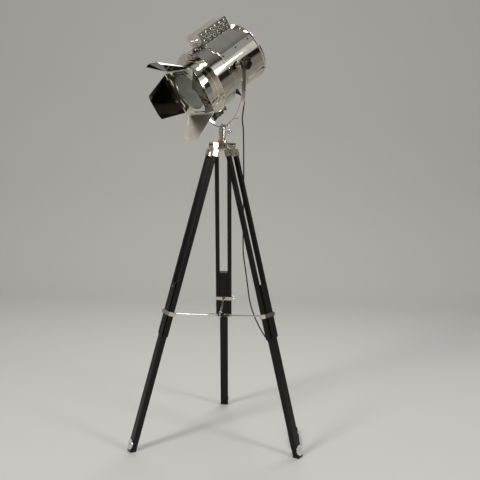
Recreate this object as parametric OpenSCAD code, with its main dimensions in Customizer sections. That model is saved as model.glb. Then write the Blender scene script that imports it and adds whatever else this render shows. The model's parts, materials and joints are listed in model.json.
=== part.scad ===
// Tripod spotlight floor lamp.
// Origin on the floor, on the axis of the tripod. The rear leg stands along +Y.

/* [Tripod] */
// Height of the leg pivots above the floor
pivot_h = 1135; // [1080:1:1180]
// Distance of each leg pivot from the axis
pivot_r = 36.7; // [36:0.1:42]
// Lean of each leg from the vertical, in degrees
leg_lean = 15.8; // [13:0.1:18]
// Width of a rail across the leg
rail_w = 16; // [13:0.5:19]
// Depth of a rail, in the radial direction
rail_d = 16; // [13:0.5:19]
// Distance down the leg from its pivot to the end of the rails
rail_end = 733; // [700:1:780]
// Width of the sliding lower leg
lower_w = 32; // [26:0.5:36]
// Depth of the sliding lower leg
lower_d = 22; // [19:0.5:26]
// Distance down the leg from its pivot to the top of the lower leg
lower_top = 530; // [500:1:560]
// Clearance on each side between the lower leg and the rails
slide_gap = 0.25; // [0.2:0.05:0.5]
// Distance down the leg from its pivot to the middle of the strap clamp
clamp_s = 646; // [635:1:665]
// Height of the strap clamp
clamp_h = 15; // [10:0.5:20]
// Thickness of the strap of the clamp
clamp_t = 1.6; // [1:0.1:2.5]

/* [Leg cap and head plate] */
// Radius of the hinge knuckle of a leg cap
knuckle_r = 9; // [7.5:0.5:10]
// Width of the hinge knuckle
knuckle_w = 30; // [24:1:34]
// Thickness of a lug of the head plate
lug_t = 5.5; // [4:0.5:7]
// Radius of the pivot bolt
bolt_r = 3; // [2.5:0.25:4]
// Thickness of the bridge of a leg cap
bridge_t = 6; // [5:0.5:9]
// Length of the ferrule that holds a rail
ferrule_len = 21; // [16:1:30]
// Wall of the ferrule
ferrule_wall = 1.8; // [1.2:0.1:3]
// Thickness of the head plate
plate_t = 4.5; // [3.5:0.5:7]
// Radius of the round middle of the head plate
plate_r = 34; // [30:1:38]

/* [Spreader] */
// Drop of the spreader hub below the outer ends of the struts
hub_drop = 21.2; // [15:0.1:30]
// Radius of the struts
strut_r = 3; // [2.5:0.25:4]
// Radius of the pin that holds a strut to its clamp
strut_pin_r = 1.5; // [1.2:0.1:2]
// Width of an arm of the hub
hub_arm_w = 8; // [6:0.5:9]
// Reach of an arm of the hub from the axis
hub_arm_r = 24.5; // [22:0.5:26]
// Height of an arm of the hub
hub_arm_h = 12; // [10:0.5:15]

/* [Screws and feet] */
// Radius of the shaft of a wing screw
wing_shaft_r = 3; // [2.5:0.25:3.5]
// Reach of the wings from the axis of their screw
wing_reach = 14; // [11:0.5:18]
// Radius of the disc on the face of a foot
foot_disc_r = 19.5; // [15:0.5:22]
// Thickness of the foot disc
foot_disc_t = 3; // [2:0.5:5]
// Distance from the end of the leg up to the middle of the foot disc
foot_disc_up = 24; // [22:1:40]
// Radius of a small screw head
screw_head_r = 3.5; // [3:0.25:4.5]
// Radius of a small screw shank
screw_shank_r = 1.6; // [1.2:0.1:2]

/* [Neck and yoke] */
// Height of the flared neck
neck_h = 27; // [20:1:34]
// Radius of the socket
socket_r = 14; // [12:0.5:17]
// Height of the socket above the neck
socket_h = 27; // [22:1:34]
// Radius of the post that turns in the socket
post_r = 8; // [6.5:0.25:9]
// Radius of the ball of the socket screw
ball_r = 9.5; // [7:0.5:12]
// Gap between the yoke and the lip of the front door
yoke_gap = 2.7; // [2.5:0.1:6]
// Thickness of the yoke strap
yoke_t = 3.5; // [2.5:0.25:5]
// Width of the yoke strap
yoke_w = 16; // [12:0.5:24]
// Height of the straight arms of the yoke
yoke_arm = 95.3; // [90:0.1:110]
// Radius of a tilt knob
knob_r = 23; // [17:0.5:26]
// Length of a tilt knob
knob_len = 17; // [12:0.5:24]
// Radius of the stud of a tilt knob
stud_r = 4; // [3:0.25:5]

/* [Lamp head] */
// Direction that the head faces, in degrees from +X
head_pan = 220; // [200:1:240]
// Tilt of the head below the level, in degrees
head_tilt = 34.5; // [25:0.5:40]
// Outer radius of the housing
housing_r = 107; // [104:0.5:108]
// Sheet thickness of the housing
housing_wall = 1.6; // [1.2:0.1:3]
// Length of the housing behind the tilt axis
housing_back = 112; // [100:1:125]
// Length of the housing in front of the tilt axis
housing_front = 55; // [45:1:56]
// Height of the rim of the rear cover above the housing
rear_rim_h = 4; // [2:0.5:7]
// Height of the front door above the housing
bezel_h = 11; // [9:0.5:12]
// Height of the front lip above the door
bezel_lip_h = 3.5; // [2:0.5:4.5]
// Depth of the front door
bezel_depth = 57; // [48:1:64]
// Outer radius of the lens tube
tube_r = 88; // [84:0.5:89]
// Length of the lens tube
tube_len = 56; // [48:1:66]
// Width of the collar at the foot of the lens tube
collar_w = 7; // [4:0.5:12]
// Width of the retaining ring of the lens
lens_ring_w = 13.8; // [10:0.1:20]
// Thickness of the lens glass
lens_t = 4; // [3:0.5:6]

/* [Vent box] */
// Half width of the vent box
vent_w = 38; // [34:0.5:42]
// Height of the top of the vent box above the lamp axis
vent_top = 160; // [150:1:170]
// Sheet thickness of the vent box
vent_wall = 1.4; // [1:0.1:2]
// Radius of a vent hole
vent_hole_r = 4.5; // [3:0.5:5]
// Distance between vent holes
vent_pitch = 23; // [18:1:26]

/* [Barn doors] */
// Half width of the square frame
frame_half = 88.5; // [86:0.5:92]
// Width of the rails of the square frame
frame_rail = 5; // [4:0.5:7]
// Thickness of the sheet of the frame
frame_t = 2.6; // [2:0.2:4]
// Radius of the round plate in the frame
frame_plate_r = 81; // [77:0.5:82]
// Length of a door from its hinge
door_len = 100; // [85:1:108]
// Half width of a door at its hinge
door_half = 80; // [74:1:82]
// Half width of the flat middle of a door at its outer edge
door_tip_half = 29; // [20:1:34]
// Width of a bent wing at the outer edge
door_wing = 22; // [14:1:26]
// Bend of the wings towards the light, in degrees
door_bend = 28; // [10:1:40]
// Sheet thickness of a door
door_t = 1.2; // [1:0.1:2]
// Opening of the top door from straight ahead, in degrees
top_open = 42; // [20:1:70]
// Opening of the bottom door
bottom_open = 36; // [20:1:60]
// Opening of the left door
left_open = 12; // [0:1:60]
// Opening of the right door
right_open = 45; // [20:1:70]

/* [Cord] */
// Radius of the cord
cord_r = 2.5; // [2.2:0.1:2.8]
// Distance of the cord gland in front of the tilt axis
gland_a = 42.5; // [38:0.5:43]
// Place of the gland around the housing, in degrees from the top
gland_angle = 141; // [135:1:150]
// Length of the gland outside the housing
gland_len = 18; // [16:1:22]

/* [Hidden] */
$fn = 64;

REAR = 90;
RIGHT = -30;
LEFT = 210;
AZIMUTHS = [REAR, RIGHT, LEFT];

wood = "#1b1a18";
nickel = "#c9c4b8";
chrome = "#d8d8d6";
dark_metal = "#35322e";
glass = "#8f918e";
rubber = "#161616";

// small clearances
flat_gap = 0.3;
run_fit = 0.05;
skin = 1;

// leg
leg_len = pivot_h / cos(leg_lean);
rail_y = lower_w / 2 + slide_gap + rail_w / 2;
rail_out = rail_y + rail_w / 2;
lug_in = knuckle_w / 2 + flat_gap;
lug_out = lug_in + lug_t;
lug_r = knuckle_r + 1;
bridge_s = lug_r + 1;
ferrule_s = bridge_s + bridge_t;
ferrule_end = ferrule_s + ferrule_len;
ferrule_w = rail_w + 2 * ferrule_wall;
ferrule_d = rail_d + 2 * ferrule_wall;
bolt_head_r = 5.5;
bolt_head_t = 3;

// strap clamp, its lug and the strut
clamp_x = lower_d / 2 + flat_gap;
clamp_y = rail_out;
clamp_side = clamp_y + clamp_t;
clevis_x = clamp_x + clamp_t + 6.3;
eye_w = 5;
eye_r = 4.5;
clevis_in = eye_w / 2 + flat_gap;
clevis_t = 2.5;
clevis_r = 5;
pin_head_r = 2.6;
pin_head_t = 1.2;
strut_top_r = pivot_r - clevis_x * cos(leg_lean) + clamp_s * sin(leg_lean);
strut_top_z = pivot_h - clevis_x * sin(leg_lean) - clamp_s * cos(leg_lean);
hub_pin_r = 20;
hub_z = strut_top_z - hub_drop;
strut_drop = atan((strut_top_z - hub_z) / (strut_top_r - hub_pin_r));
strut_len = norm([strut_top_z - hub_z, strut_top_r - hub_pin_r]);
fork_slot = hub_arm_w + 2 * flat_gap;
fork_w = fork_slot + 5;
fork_h = 9;
slot_depth = 22;
fork_base = 6;

// head plate, neck and socket
plate_z = pivot_h + knuckle_r + 0.5;
plate_top = plate_z + plate_t;
arm_reach = pivot_r + lug_r;
neck_top = plate_top + neck_h;
socket_top = neck_top + socket_h;
neck_foot_r = 24;
socket_screw_z = neck_top + 14;
socket_screw_r = 2.5;

// radii of the lamp head
rear_rim_r = housing_r + rear_rim_h;
bezel_r = housing_r + bezel_h;
bezel_lip_r = bezel_r + bezel_lip_h;
collar_r = tube_r + collar_w;
tube_wall = 2.2;
lens_r = tube_r - tube_wall - lens_ring_w - 2;

// yoke
post_collar_r = 12;
post_collar_t = 4;
post_gap = 0.1;
yoke_ri = bezel_lip_r + yoke_gap;
yoke_ro = yoke_ri + yoke_t;
yoke_bottom = socket_top + post_collar_t;
arc_z = yoke_bottom + yoke_ro;
head_z = arc_z + yoke_arm;
post_stub_r = 5;
post_nut_r = 9.5;
post_nut_t = 7;
knob_washer_r = 10;
knob_washer_t = 1.6;

// lamp head
boss_r = 15;
boss_end = yoke_ri - flat_gap;
ring_front = 66;
bezel_back = ring_front + 1;
bezel_front = bezel_back + bezel_depth;
bezel_wall = 1.8;
bezel_lip = 5;
tube_end = bezel_front + tube_len;
collar_t = 6;
lens_back = tube_end - 8;
shoulder_t = 2;
shoulder_w = 3;
lens_edge_r = tube_r - tube_wall - 0.3;
lens_ring_t = 3.5;
door_hinge_a = ring_front;
door_hinge_u = bezel_r + 6.5;
hinge_r = 3.5;
hinge_half = 8;
hinge_pin_r = 1.6;
latch_u = -141;
latch_y = -24;
latch_stud_r = 2.5;
latch_r = 12.5;
latch_foot_a = bezel_back + 14;
latch_foot_len = 36;
vent_front = ring_front - 4;
vent_back = -80;
strip_angle = 60.5;
strip_w = 25;
strip_h = 1.6;
strip_from = -105;
strip_to = 52;
strip_screw_y = 3.7;
strip_screws = [43.7, -21.7, -86.8];
seam_angle = 75;

// barn doors
frame_a = tube_end + 1;
sleeve_len = 12;
sleeve_t = 2.4;
knuckle_door_r = 2.6;
door_pin_r = 1.3;
door_a = frame_a + frame_t / 2;
door_u = frame_half + knuckle_door_r + flat_gap;
door_knuckle_half = 58;
knuckle_gap = 0.25;
door_relief = door_knuckle_half + flat_gap / 2;
door_lug_end = 70;
door_start = knuckle_door_r + 0.8;
frame_screw_r = 76;
frame_screw_gap = 7;

// inside the head
holder_r = 19;
holder_len = 48;
bulb_r = 30;
reflector_t = 1;
reflector_r = 92;
reflector_depth = 75;

// cord: the middle line, from the gland to the hank on the floor
cord_sides = 8;
cord_steps = 3;
cord_joint_gap = 0.15;
gland_out = housing_r + gland_len;
gland_bore_r = 5.5;
gland_flange_r = 9;
// the first two points lie on the axis of the gland
gland_dir = [for (k = [0, 6]) head_point(gland_a, gland_angle, gland_out + k)];
route = concat(gland_dir, [
    [77.5, -50.5, 1313], [82.5, -52, 1299], [80.5, -52, 1278], [76, -47, 1236],
    [80, -38, 1200], [81, -26, 1160], [82, -14, 1120], [82, -4, 1080],
    [83, 2, 1040], [83, 4, 995], [84, 4, 945], [84, 3, 890], [85, 2, 835],
    [85, 0, 780], [87, -4, 730], [94, -10, 685], [103, -18, 630],
    [115, -30, 555], [129, -49, 512], [146, -70, 478], [168, -89, 443],
    [188, -103, 418], [203, -108.5, 396], [210, -113, 367],
    [220.5, -119.5, 323], [233, -128, 269.5], [246, -138.5, 211.5],
    [259.5, -150, 150], [269, -159, 104], [275, -166, 72.2],
    [281, -166, 48], [286, -160, 25], [292, -150, 9.5],
    [301, -137, 2.9], [310, -122, 2.7], [315.5, -108, 2.7], [317, -97, 2.7]]);
upper_end = 6 * cord_steps;
middle_end = 12 * cord_steps;

// rest of the cord, wound on the floor into a long narrow loop of three turns
hank_x = 302;
hank_near = -108;
hank_run = 90;
hank_bend_r = 15;
hank_turns = 3;
hank_end_r = hank_bend_r + cord_r;
hank_h = 2 * hank_turns * cord_r;
hank_far = hank_near + hank_run + 2 * hank_end_r;
plug_r = 14;
plug_len = 36;
plug_tail = 10;
pin_r = 2.4;
pin_len = 19;
pin_gap = 9.5;

// cord clips on the right leg
rail_clip_s = rail_end + 22;
rail_clip_y = 6;
foot_clip_s = leg_len - 79.6;
foot_clip_y = -6;
clip_wall = 1.4;
clip_gap = 0.4;
clip_bore_gap = 0.7;
clip_h = 8;
clip_x = lower_d / 2 + clip_wall + cord_r + clip_gap;

// ---- frames -------------------------------------------------------------

// Leg frame: pivot at the origin, the leg runs down -Z, outwards is +X
module at_leg(azimuth) {
    rotate([0, 0, azimuth])
        translate([pivot_r, 0, pivot_h])
            rotate([0, -leg_lean, 0])
                children();
}

// Strut frame: pin at the origin, the strut runs inwards along -X
module at_strut(azimuth) {
    rotate([0, 0, azimuth])
        translate([strut_top_r, 0, strut_top_z])
            rotate([0, -strut_drop, 0])
                children();
}

// Yoke frame: forward is +X, the near side is +Y
module at_yoke() {
    rotate([0, 0, head_pan])
        children();
}

// Head frame: forward along the lamp axis is +X, the near side is +Y
module at_head() {
    at_yoke()
        translate([0, 0, head_z])
            rotate([0, head_tilt, 0])
                children();
}

// Turns +Z to a place around the housing, in degrees from the top
module at_angle(degrees) {
    rotate([-degrees, 0, 0])
        children();
}

// Door frame: hinge pin along Y, the leaf runs along +X
module at_door(roll, open) {
    at_head()
        at_angle(roll)
            translate([door_a, 0, door_u])
                rotate([0, -open, 0])
                    children();
}

// A point around the housing in the frame of the whole lamp
function head_point(a, degrees, r) =
    let (y = r * sin(degrees), u = r * cos(degrees))
    let (x = a * cos(head_tilt) + u * sin(head_tilt))
    [x * cos(head_pan) - y * sin(head_pan),
     x * sin(head_pan) + y * cos(head_pan),
     head_z - a * sin(head_tilt) + u * cos(head_tilt)];

// ---- simple shapes ------------------------------------------------------

// Bar along the leg
module bar(depth, width, from, to, y = 0) {
    translate([-depth / 2, y - width / 2, -to])
        cube([depth, width, to - from]);
}

// Round bar along Y
module rod_y(r, from, to) {
    translate([0, from, 0])
        rotate([-90, 0, 0])
            cylinder(r = r, h = to - from);
}

// Round bar along X
module rod_x(r, from, to) {
    translate([from, 0, 0])
        rotate([0, 90, 0])
            cylinder(r = r, h = to - from);
}

// Turned shape about X, from an outline of [radius, place] points
module turned_x(points) {
    rotate([0, 90, 0])
        rotate_extrude($fn = 128)
            polygon(points);
}

// Small screw: head on the surface at z = 0, shank down -Z
module small_screw(shank) {
    cylinder(r = screw_head_r, h = 1.8);
    translate([0, 0, -shank])
        cylinder(r = screw_shank_r, h = shank + skin);
}

// ---- tripod -------------------------------------------------------------

module rails(azimuth, screw_side) {
    color(wood)
        at_leg(azimuth)
            difference() {
                for (side = [-1, 1])
                    bar(rail_d, rail_w, ferrule_s, rail_end, side * rail_y);
                translate([0, 0, -clamp_s])
                    mirror([0, screw_side < 0 ? 1 : 0, 0])
                        rod_y(wing_shaft_r + run_fit, 0, rail_out + skin);
            }
}

module leg_cap(azimuth) {
    color(nickel)
        at_leg(azimuth)
            difference() {
                union() {
                    rod_y(knuckle_r, -knuckle_w / 2, knuckle_w / 2);
                    bar(2 * knuckle_r - 4, knuckle_w, 0, ferrule_s);
                    bar(ferrule_d, 2 * rail_out + 2 * ferrule_wall, bridge_s, ferrule_s);
                    for (side = [-1, 1])
                        bar(ferrule_d, ferrule_w, bridge_s, ferrule_end, side * rail_y);
                }
                rod_y(bolt_r, -knuckle_w, knuckle_w);
                for (side = [-1, 1])
                    bar(rail_d, rail_w, ferrule_s, ferrule_end + skin, side * rail_y);
            }
}

module hinge_pins(azimuth) {
    head_from = lug_out + flat_gap;
    pin_from = clevis_in + clevis_t;
    color(chrome)
        at_leg(azimuth) {
            rod_y(bolt_r, -head_from, head_from);
            for (side = [0, 1])
                mirror([0, side, 0])
                    rod_y(bolt_head_r, head_from, head_from + bolt_head_t);
            translate([-clevis_x, 0, -clamp_s]) {
                rod_y(strut_pin_r, -pin_from, pin_from);
                for (side = [0, 1])
                    mirror([0, side, 0])
                        rod_y(pin_head_r, pin_from, pin_from + pin_head_t);
            }
        }
}

module lower_leg(azimuth) {
    color(wood)
        difference() {
            intersection() {
                at_leg(azimuth)
                    bar(lower_d, lower_w, lower_top, leg_len + lower_d);
                translate([-2 * leg_len, -2 * leg_len, 0])
                    cube([4 * leg_len, 4 * leg_len, 2 * leg_len]);
            }
            at_leg(azimuth)
                foot_screws();
        }
}

// Screw of the foot disc and guide screw at the top of the lower leg
guide_screw_s = lower_top + 15;
foot_screw_s = leg_len - foot_disc_up;
module foot_screws() {
    translate([lower_d / 2, 0, -guide_screw_s])
        rotate([0, 90, 0])
            small_screw(12);
    translate([lower_d / 2 + foot_disc_t, 0, -foot_screw_s])
        rotate([0, 90, 0])
            small_screw(14);
}

module foot_fittings(azimuth) {
    color(chrome)
        at_leg(azimuth) {
            translate([0, 0, -foot_screw_s])
                difference() {
                    rod_x(foot_disc_r, lower_d / 2, lower_d / 2 + foot_disc_t);
                    rod_x(screw_shank_r, 0, lower_d);
                }
            foot_screws();
        }
}

module strap_clamp(azimuth, screw_side) {
    color(nickel)
        at_leg(azimuth)
            translate([0, 0, -clamp_s])
                difference() {
                    union() {
                        difference() {
                            cube([2 * clamp_x + 2 * clamp_t, 2 * clamp_side, clamp_h], center = true);
                            cube([2 * clamp_x, 2 * clamp_y, clamp_h + 2], center = true);
                        }
                        mirror([0, screw_side < 0 ? 1 : 0, 0])
                            rod_y(wing_shaft_r + 3, clamp_y, clamp_side + 1.5);
                        for (side = [0, 1])
                            mirror([0, side, 0])
                                clevis_cheek();
                    }
                    mirror([0, screw_side < 0 ? 1 : 0, 0])
                        rod_y(wing_shaft_r + run_fit, clamp_y - skin, clamp_side + 2 * skin);
                    translate([-clevis_x, 0, 0])
                        rod_y(strut_pin_r, -2 * eye_w, 2 * eye_w);
                }
}

module clevis_cheek() {
    translate([-clevis_x, 0, 0])
        rod_y(clevis_r, clevis_in, clevis_in + clevis_t);
    translate([-clevis_x, clevis_in, -clevis_r])
        cube([clevis_x - clamp_x, clevis_t, 2 * clevis_r]);
}

module wing_screw(azimuth, screw_side) {
    from = clamp_side + 1.5 + flat_gap;
    lobe_r = 6;
    color(nickel)
        at_leg(azimuth)
            translate([0, 0, -clamp_s])
                mirror([0, screw_side < 0 ? 1 : 0, 0]) {
                    rod_y(wing_shaft_r, lower_w / 2 + flat_gap, from + skin);
                    rod_y(wing_shaft_r + 2.5, from, from + 7);
                    for (side = [-1, 1])
                        translate([-1.3, from + 6, side * (wing_reach - lobe_r)])
                            rotate([0, 90, 0])
                                cylinder(r = lobe_r, h = 2.6);
                }
}

module strut(azimuth) {
    rod_start = strut_len - slot_depth;
    color(chrome)
        at_strut(azimuth)
            difference() {
                union() {
                    rod_y(eye_r, -eye_w / 2, eye_w / 2);
                    translate([-8, -eye_w / 2, -strut_r])
                        cube([8, eye_w, 2 * strut_r]);
                    rod_x(strut_r, -rod_start, -7);
                    translate([-10, 0, 0])
                        sphere(r = strut_r + 1.2);
                    translate([-strut_len, -fork_w / 2, -fork_h / 2])
                        cube([slot_depth + fork_base, fork_w, fork_h]);
                    translate([-strut_len, 0, 0])
                        rod_y(fork_h / 2, -fork_w / 2, fork_w / 2);
                }
                rod_y(strut_pin_r + run_fit, -eye_w, eye_w);
                translate([-strut_len - fork_h, -fork_slot / 2, -fork_h])
                    cube([slot_depth + fork_h, fork_slot, 2 * fork_h]);
            }
}

module spreader_hub() {
    end_r = hub_arm_h / 2;
    color(chrome)
        translate([0, 0, hub_z]) {
            for (azimuth = AZIMUTHS)
                rotate([0, 0, azimuth]) {
                    translate([0, -hub_arm_w / 2, -end_r])
                        cube([hub_arm_r - end_r, hub_arm_w, hub_arm_h]);
                    translate([hub_arm_r - end_r, 0, 0])
                        rod_y(end_r, -hub_arm_w / 2, hub_arm_w / 2);
                }
            translate([0, 0, -end_r - 3])
                cylinder(r = 5.2, h = hub_arm_h + 6);
        }
}

module head_plate() {
    color(nickel)
        difference() {
            union() {
                translate([0, 0, plate_z])
                    cylinder(r = plate_r, h = plate_t);
                translate([0, 0, pivot_h - knuckle_r])
                    cylinder(r = pivot_r - knuckle_r - 2.5, h = plate_top - pivot_h);
                for (azimuth = AZIMUTHS)
                    rotate([0, 0, azimuth]) {
                        translate([0, -lug_out, plate_z])
                            cube([arm_reach, 2 * lug_out, plate_t]);
                        for (side = [0, 1])
                            mirror([0, side, 0])
                                plate_lug();
                    }
            }
            for (azimuth = AZIMUTHS)
                rotate([0, 0, azimuth])
                    translate([pivot_r, 0, pivot_h])
                        rod_y(bolt_r + run_fit, -lug_out - skin, lug_out + skin);
        }
}

module plate_lug() {
    translate([pivot_r, 0, pivot_h])
        rod_y(lug_r, lug_in, lug_out);
    translate([pivot_r - lug_r, lug_in, pivot_h])
        cube([2 * lug_r, lug_t, plate_top - pivot_h]);
}

module neck_socket() {
    rib = 1.6;
    neck_r = socket_r - 2.5;
    flare = neck_foot_r - neck_r;
    color(nickel)
        difference() {
            rotate_extrude($fn = 96)
                polygon([
                    [0, plate_top], [neck_foot_r, plate_top], [neck_foot_r, plate_top + 2],
                    [neck_r + 0.55 * flare, plate_top + 4], [neck_r + 0.5 * flare + rib, plate_top + 6],
                    [neck_r + 0.3 * flare, plate_top + 9], [neck_r + 0.24 * flare + rib, plate_top + 11],
                    [neck_r + 0.12 * flare, plate_top + 14], [neck_r + 0.1 * flare + rib, plate_top + 16],
                    [neck_r, plate_top + 19], [neck_r, neck_top - 1], [socket_r, neck_top],
                    [socket_r, neck_top + 3], [socket_r - 0.8, neck_top + 4],
                    [socket_r - 0.8, socket_top - 5], [socket_r, socket_top - 4],
                    [socket_r, socket_top], [0, socket_top]]);
            translate([0, 0, neck_top - 8])
                cylinder(r = post_r + post_gap, h = socket_h + 9);
            translate([0, 0, socket_screw_z])
                rod_x(socket_screw_r + run_fit, 0, socket_r + skin);
        }
}

module socket_screw() {
    ball_x = socket_r + flat_gap + 2 + ball_r;
    color(chrome)
        translate([0, 0, socket_screw_z]) {
            rod_x(socket_screw_r, post_r + flat_gap, ball_x);
            rod_x(socket_screw_r + 2.2, socket_r + flat_gap, socket_r + flat_gap + 3);
            translate([ball_x, 0, 0])
                sphere(r = ball_r);
        }
}

// ---- yoke ---------------------------------------------------------------

module yoke_post() {
    color(chrome)
        at_yoke() {
            translate([0, 0, neck_top - 7])
                cylinder(r = post_r, h = socket_top - neck_top + 8);
            translate([0, 0, socket_top + run_fit])
                cylinder(r = post_collar_r, h = post_collar_t - run_fit);
            translate([0, 0, yoke_bottom - skin])
                cylinder(r = post_stub_r, h = yoke_t + post_nut_t + 3);
            translate([0, 0, yoke_bottom + yoke_t])
                cylinder(r = post_nut_r, h = post_nut_t, $fn = 6);
        }
}

module yoke() {
    end_r = yoke_w / 2 + 3;
    color(nickel)
        at_yoke()
            difference() {
                union() {
                    translate([0, 0, arc_z])
                        rotate([0, 90, 0])
                            rotate([0, 0, -90])
                                rotate_extrude(angle = 180, $fn = 160)
                                    translate([yoke_ri, -yoke_w / 2])
                                        square([yoke_t, yoke_w]);
                    for (side = [0, 1])
                        mirror([0, side, 0]) {
                            translate([-yoke_w / 2, yoke_ri, arc_z])
                                cube([yoke_w, yoke_t, yoke_arm]);
                            translate([0, 0, head_z])
                                rod_y(end_r, yoke_ri, yoke_ro);
                        }
                    translate([-yoke_w / 2, -post_nut_r - 2, yoke_bottom])
                        cube([yoke_w, 2 * post_nut_r + 4, yoke_t]);
                }
                translate([0, 0, head_z])
                    rod_y(stud_r + run_fit, -yoke_ro - skin, yoke_ro + skin);
                translate([0, 0, yoke_bottom - skin])
                    cylinder(r = post_stub_r, h = yoke_t + 2 * skin);
            }
}

module tilt_knob(side) {
    from = yoke_ro + flat_gap;
    body = from + knob_washer_t;
    flute_r = 3;
    flutes = 12;
    color(dark_metal)
        at_yoke()
            translate([0, 0, head_z])
                mirror([0, side < 0 ? 1 : 0, 0]) {
                    rod_y(stud_r, housing_r + 4, body);
                    rod_y(knob_washer_r, from, body);
                    difference() {
                        union() {
                            rod_y(knob_r, body, body + knob_len - 4);
                            rod_y(knob_r - 3, body, body + knob_len);
                        }
                        for (k = [0:flutes - 1])
                            rotate([0, k * 360 / flutes, 0])
                                translate([knob_r + 1, 0, 0])
                                    rod_y(flute_r, body + 2, body + knob_len);
                    }
                }
}

// ---- lamp head ----------------------------------------------------------

module housing_shell() {
    inner = housing_r - housing_wall;
    color(chrome)
        at_head()
            difference() {
                union() {
                    difference() {
                        rod_x(housing_r, -housing_back, housing_front, $fn = 128);
                        rod_x(inner, -housing_back - 1, housing_front + 1, $fn = 128);
                    }
                    for (side = [0, 1])
                        mirror([0, side, 0])
                            difference() {
                                rod_y(boss_r, inner - 4, boss_end);
                                rod_x(inner, -boss_r - 1, boss_r + 1);
                            }
                    for (side = [-1, 1])
                        at_angle(side * seam_angle)
                            translate([-housing_back, -1, inner])
                                cube([housing_back - boss_r, 2, housing_wall + 1.2]);
                    at_angle(130)
                        translate([-housing_back, -1.5, inner])
                            cube([housing_back - 20, 3, housing_wall + 7]);
                }
                rod_y(stud_r + run_fit, -boss_end - 1, boss_end + 1);
                translate([-60, -24, 0])
                    cube([100, 48, housing_r + 1]);
                translate([gland_a, 0, 0])
                    at_angle(gland_angle)
                        cylinder(r = gland_bore_r, h = housing_r + 1);
                strip_screw_places()
                    cylinder(r = screw_shank_r, h = 12, center = true);
            }
}

// Places of the screws of the side strips, on the flat of the strips
module strip_screw_places() {
    for (side = [0, 1])
        for (a = strip_screws)
            mirror([0, side, 0])
                at_angle(strip_angle)
                    translate([a, -strip_screw_y, housing_r + strip_h])
                        children();
}

module side_strips() {
    color(chrome)
        at_head()
            for (side = [0, 1])
                mirror([0, side, 0])
                    difference() {
                        at_angle(strip_angle)
                            translate([strip_from, -strip_w / 2, housing_r - 2])
                                cube([strip_to - strip_from, strip_w, strip_h + 2]);
                        rod_x(housing_r, strip_from - 1, strip_to + 1, $fn = 512);
                        for (a = strip_screws)
                            at_angle(strip_angle)
                                translate([a, -strip_screw_y, housing_r - 3])
                                    cylinder(r = screw_shank_r, h = strip_h + 4);
                    }
}

module rear_cover() {
    inner = housing_r - housing_wall;
    color(chrome)
        at_head()
            turned_x([
                [0, -housing_back - 6], [40, -housing_back - 5], [78, -housing_back - 3],
                [rear_rim_r - 5, -housing_back - 2], [rear_rim_r - 1, -housing_back - 1.5],
                [rear_rim_r, -housing_back], [rear_rim_r, -housing_back + 5],
                [rear_rim_r - 1, -housing_back + 6], [housing_r, -housing_back + 6],
                [housing_r, -housing_back], [inner, -housing_back], [inner, -housing_back + 4],
                [inner - 2, -housing_back + 4], [inner - 2, -housing_back], [0, -housing_back - 3]]);
}

module front_ring() {
    inner = housing_r - housing_wall;
    color(chrome)
        at_head()
            difference() {
                union() {
                    turned_x([
                        [inner - 8, ring_front - 3], [inner - 8, ring_front], [bezel_r - 2, ring_front],
                        [bezel_r, ring_front - 1], [bezel_r, ring_front - 4],
                        [housing_r + 4, ring_front - 6], [housing_r + 4, housing_front - 1],
                        [housing_r + 3, housing_front - 3], [housing_r, housing_front - 3],
                        [housing_r, housing_front], [inner, housing_front],
                        [inner, ring_front - 3]]);
                    for (side = [0, 1])
                        mirror([0, side, 0])
                            hinge_lug(hinge_half + flat_gap, 2 * hinge_half, -5, 0);
                    translate([ring_front - 5, latch_y - 7, latch_u - 6])
                        cube([5, 14, -latch_u - housing_r + 6]);
                }
                hinge_bore();
                translate([vent_back, -vent_w - skin, 0])
                    cube([vent_front - vent_back, 2 * vent_w + 2 * skin, vent_top]);
                rod_x(inner - 8, ring_front - 6, ring_front + 1);
            }
}

// Lug of the door hinge, from the ring or the door up to the pin
module hinge_lug(y_from, y_to, web_from, web_to) {
    translate([door_hinge_a, 0, door_hinge_u])
        rod_y(hinge_r, y_from, y_to);
    translate([door_hinge_a + web_from, y_from, bezel_r - 8])
        cube([web_to - web_from, y_to - y_from, door_hinge_u - bezel_r + 8]);
}

module hinge_bore() {
    translate([door_hinge_a, 0, door_hinge_u])
        rod_y(hinge_pin_r + run_fit, -3 * hinge_half, 3 * hinge_half);
}

module front_door() {
    inner = bezel_r - bezel_wall;
    color(chrome)
        at_head()
            difference() {
                union() {
                    turned_x([
                        [inner, bezel_back], [bezel_r, bezel_back],
                        [bezel_r, bezel_front - bezel_lip], [bezel_lip_r - 1, bezel_front - bezel_lip],
                        [bezel_lip_r, bezel_front - bezel_lip + 1], [bezel_lip_r, bezel_front - 1],
                        [bezel_lip_r - 1, bezel_front], [tube_r - tube_wall, bezel_front],
                        [tube_r - tube_wall, bezel_front - bezel_wall],
                        [inner, bezel_front - bezel_wall]]);
                    hinge_lug(-hinge_half, hinge_half, 1, 5);
                    translate([latch_foot_a, latch_y - 9, latch_u - 8])
                        cube([latch_foot_len, 18, -latch_u - bezel_r + 16]);
                }
                rod_x(inner, bezel_back - 5, bezel_front - bezel_wall);
                hinge_bore();
                translate([0, latch_y, latch_u])
                    rod_x(latch_stud_r + run_fit, bezel_back, latch_foot_a + latch_foot_len + 1);
            }
}

module latch_knob() {
    from = latch_foot_a + latch_foot_len + flat_gap;
    color(dark_metal)
        at_head()
            translate([0, latch_y, latch_u]) {
                rod_x(latch_stud_r, ring_front + flat_gap, from + skin);
                rod_x(latch_r - 2, from, from + 4);
                rod_x(latch_r, from + 3, from + 16);
                rod_x(latch_r - 1.5, from + 15, from + 18);
            }
}

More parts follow.
